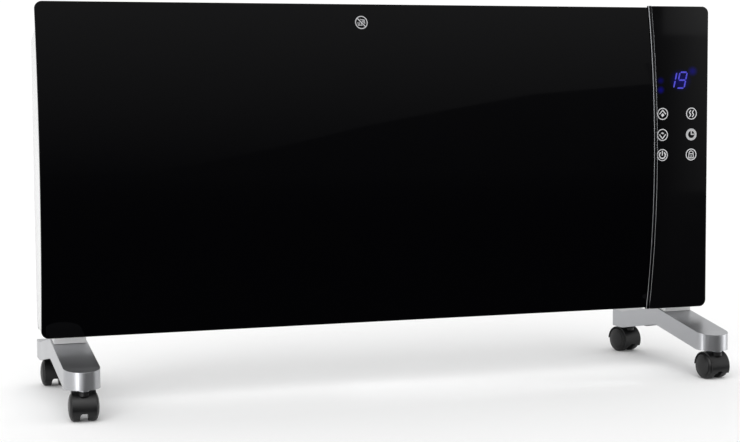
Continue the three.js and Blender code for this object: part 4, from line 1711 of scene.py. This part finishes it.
# ---------------------------------------------------------------- studio
@dataclass(frozen=True)
class Camera:
    """The view: lens in millimetres, place in panel millimetres and turns in degrees."""

    lens: float = 80.4
    place: Place = (-223.5, -1832.4, 273.7)
    yaw: float = 18.31
    pitch: float = 4.56
    roll: float = -0.35

    def build(self) -> None:
        """Creates the camera and makes it the scene's."""
        data = bpy.data.cameras.new("camera")
        data.lens = self.lens
        data.sensor_width = 36.0
        data.clip_end = 200.0
        camera = add_object("camera", data)
        turn = (
            Matrix.Rotation(math.radians(-self.yaw), 4, "Z")
            @ Matrix.Rotation(math.radians(90 - self.pitch), 4, "X")
            @ Matrix.Rotation(math.radians(self.roll), 4, "Z")
        )
        camera.matrix_world = Matrix.Translation(DATUM.at(*self.place)) @ turn
        bpy.context.scene.camera = camera


@dataclass(frozen=True)
class Softbox:
    """A rectangular light panel: metres and watts."""

    name: str
    place: Place
    size: tuple[float, float]
    power: float
    target: Place = (0.0, 0.0, 0.2)

    def build(self) -> None:
        """Adds the light, aimed at its target."""
        data = bpy.data.lights.new(self.name, "AREA")
        data.shape = "RECTANGLE"
        data.size, data.size_y = self.size
        data.energy = self.power
        aim = Vector(self.target) - Vector(self.place)
        turn = aim.to_track_quat("-Z", "Y").to_matrix().to_4x4()
        add_object(self.name, data).matrix_world = Matrix.Translation(self.place) @ turn


@dataclass(frozen=True)
class GradedCard:
    """A studio card that only reflections see: corners in metres, light graded along Z and X."""

    name: str
    corners: tuple[Place, ...]
    span: tuple[float, float]
    light: tuple[float, float]
    axis: str = "Z"
    side_span: tuple[float, float] = (0.0, 1.0)
    side_gain: tuple[float, float] = (1.0, 1.0)

    def material(self) -> bpy.types.Material:
        """Makes the card's graded light.

        Returns:
            The new material.
        """
        material = bpy.data.materials.new(self.name)
        tree = empty_tree(material)
        place = add_node(tree, "ShaderNodeTexCoord").outputs["Object"]
        parts = add_node(tree, "ShaderNodeSeparateXYZ", {0: place}).outputs
        levels = []
        for value, span, light in (
            (parts[self.axis], self.span, self.light),
            (parts["X"], self.side_span, self.side_gain),
        ):
            inputs = {"Value": value, "From Min": span[0], "From Max": span[1]}
            inputs |= {"To Min": light[0], "To Max": light[1]}
            levels.append(add_node(tree, "ShaderNodeMapRange", inputs).outputs["Result"])
        level = add_node(tree, "ShaderNodeMath", {0: levels[0], 1: levels[1]}, operation="MULTIPLY")
        lit = add_node(tree, "ShaderNodeEmission", {"Strength": level.outputs[0]})
        add_node(tree, "ShaderNodeOutputMaterial", {"Surface": lit.outputs[0]})
        return material

    def build(self) -> None:
        """Hangs the card where only glossy reflections find it."""
        mesh = bmesh.new()
        mesh.faces.new([mesh.verts.new(c) for c in self.corners])
        data = bpy.data.meshes.new(self.name)
        mesh.to_mesh(data)
        mesh.free()
        data.materials.append(self.material())
        card = add_object(self.name, data)
        card.visible_camera = False
        card.visible_diffuse = False
        card.visible_transmission = False
        card.visible_shadow = False


@dataclass(frozen=True)
class NoseCard:
    """A bright strip that a foot's round nose reflects: it fans out from the nose and leans up."""

    name: str
    x: float
    start: float
    end: float
    far: float = 0.8
    high: float = 0.5
    near: float = 0.14
    nose_y: float = -0.13
    low: float = 0.002

    def card(self, light: float) -> GradedCard:
        """Makes the card, between two directions in degrees from straight ahead.

        Args:
            light: its strength.

        Returns:
            The card.
        """
        places = ((self.near, self.start, self.low), (self.near, self.end, self.low))
        places += ((self.far, self.end, self.high), (self.far, self.start, self.high))
        corners = []
        for reach, turn, z in places:
            angle = math.radians(turn)
            x, y = self.x + reach * math.sin(angle), self.nose_y - reach * math.cos(angle)
            corners.append((x, y, z))
        return GradedCard(self.name, tuple(corners), (0.0, 1.0), (light, light))


# Where the upright cards stand: in front of the heater, from the floor up, in metres.
CARD_Y = -3.2
CARD_TOP = 2.6
CARD_LEFT = -5.0
# The side cards: beyond the window's right end, the upper one on the lower one.
SIDE_LEFT = 2.04
SIDE_RIGHT = 3.2
SIDE_SPLIT = 0.53
SIDE_TOP = 1.2
# The dark card on the floor lies this far above it.
FLOOR_CARD_Z = 0.001
# Outline of the bright window, (x, z): its sill from left to right, then its right end and its top.
WINDOW = (
    (CARD_LEFT, 0.08), (0.3, 0.08), (0.49, 0.19), (0.74, 0.35), (1.0, 0.54), (1.28, 0.7),
    (1.58, 0.86), (2.03, 0.97), (2.03, 1.21), (2.5, 1.21), (2.5, CARD_TOP), (CARD_LEFT, CARD_TOP),
)


def upright(
    left: float, right: float, low: float, high: float, behind: float = 0.0
) -> tuple[Place, ...]:
    """Corners of an upright card, some way behind the first card's plane."""
    y = CARD_Y + behind
    return ((left, y, low), (right, y, low), (right, y, high), (left, y, high))


@dataclass(frozen=True)
class Studio:
    """Pale floor, white surround, light bank, softbox and the cards that the glass reflects."""

    floor_reach: float = 60.0
    fill: float = 0.82
    backdrop: float = 1.06
    bank_strength: float = 1.25
    bank_spread: float = 50.0
    bank_from: Place = (-0.35, -1.0, 1.0)
    lights: tuple[Softbox, ...] = (Softbox("key_left", (-2.2, -1.9, 1.3), (1.0, 1.6), 6.0),)
    cards: tuple[GradedCard, ...] = (
        GradedCard(
            "dark_wall_card", upright(CARD_LEFT, 6.0, 0.0, CARD_TOP), (0.0, 1.0), (0.2, 0.4)
        ),
        GradedCard(
            "window_card", tuple((x, CARD_Y + 0.01, z) for x, z in WINDOW), (0.0, 2.0), (0.19, 2.03)
        ),
        GradedCard(
            "side_card_low",
            upright(SIDE_LEFT, SIDE_RIGHT, 0.0, SIDE_SPLIT, 0.02),
            (0.05, SIDE_SPLIT),
            (0.5, 1.25),
            side_span=(2.06, 2.2),
            side_gain=(0.4, 2.0),
        ),
        GradedCard(
            "side_card_high",
            upright(SIDE_LEFT, SIDE_RIGHT, SIDE_SPLIT, SIDE_TOP, 0.02),
            (SIDE_SPLIT, 0.65),
            (2.1, 2.6),
            side_span=(SIDE_LEFT, 2.22),
            side_gain=(0.8, 2.0),
        ),
        GradedCard(
            "dark_floor_card",
            (
                (-0.1, CARD_Y, FLOOR_CARD_Z),
                (2.3, CARD_Y, FLOOR_CARD_Z),
                (0.46, -0.15, FLOOR_CARD_Z),
                (-0.43, -0.15, FLOOR_CARD_Z),
            ),
            (CARD_Y, -0.6),
            (0.2, 0.0),
            axis="Y",
        ),
        NoseCard("left_nose_card", -0.38, -55.0, -32.0).card(4.2),
        NoseCard("right_nose_card", 0.386, 64.0, 92.0).card(2.6),
        NoseCard("under_card", 0.386, -108.0, -93.0, far=0.45, high=0.02, near=0.1).card(3.4),
    )

    def floor(self) -> None:
        """Lays the floor, a matt white sheet."""
        sheet = Finish(
            "studio_floor_white", "#FAFAFA", 0.9, specular=0.1, grain=Grain.POWDER, grain_mm=3,
            relief_mm=0.05, patch_mm=400, patch_depth=0.01,
        )
        mesh = bmesh.new()
        r = self.floor_reach
        corners = ((-r, -r, 0), (r, -r, 0), (r, r, 0), (-r, r, 0))
        mesh.faces.new([mesh.verts.new(c) for c in corners])
        new_piece("studio_floor", mesh, [sheet])

    def surround(self) -> None:
        """Sets the white surround: full white behind the heater, a little weaker as a light."""
        world = bpy.data.worlds.new("white_surround")
        tree = empty_tree(world)
        ray = add_node(tree, "ShaderNodeLightPath").outputs["Is Camera Ray"]
        inputs = {"Value": ray, "To Min": self.fill, "To Max": self.backdrop}
        level = add_node(tree, "ShaderNodeMapRange", inputs).outputs["Result"]
        white = (1.0, 1.0, 1.0, 1.0)
        back = add_node(tree, "ShaderNodeBackground", {"Color": white, "Strength": level})
        add_node(tree, "ShaderNodeOutputWorld", {"Surface": back.outputs[0]})
        bpy.context.scene.world = world

    def bank(self) -> None:
        """Adds the broad light bank, high in front and to the left."""
        data = bpy.data.lights.new("light_bank", "SUN")
        data.energy = self.bank_strength
        data.angle = math.radians(self.bank_spread)
        turn = Vector(self.bank_from).to_track_quat("Z", "Y").to_matrix().to_4x4()
        add_object("light_bank", data).matrix_world = turn

    def build(self) -> None:
        """Sets up the studio."""
        scene = bpy.context.scene
        scene.view_settings.view_transform = "Standard"
        scene.view_settings.look = "None"
        self.floor()
        self.surround()
        self.bank()
        for item in self.lights + self.cards:
            item.build()


def main() -> None:
    """Builds the studio, then each sub-assembly in order."""
    logging.basicConfig(level=logging.INFO, format="%(name)s: %(message)s")
    Camera().build()
    Studio().build()
    for assembly in (GlassFront, TouchKeys, Digits, CoverWarning, Casing, HeatingSet, Electrics):
        assembly().build()
    for side in ("left", "right"):
        Foot(side).build()
    for name in ("front_left", "rear_left", "front_right", "rear_right"):
        Castor(name).build()
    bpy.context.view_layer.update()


if __name__ == "__main__":
    main()
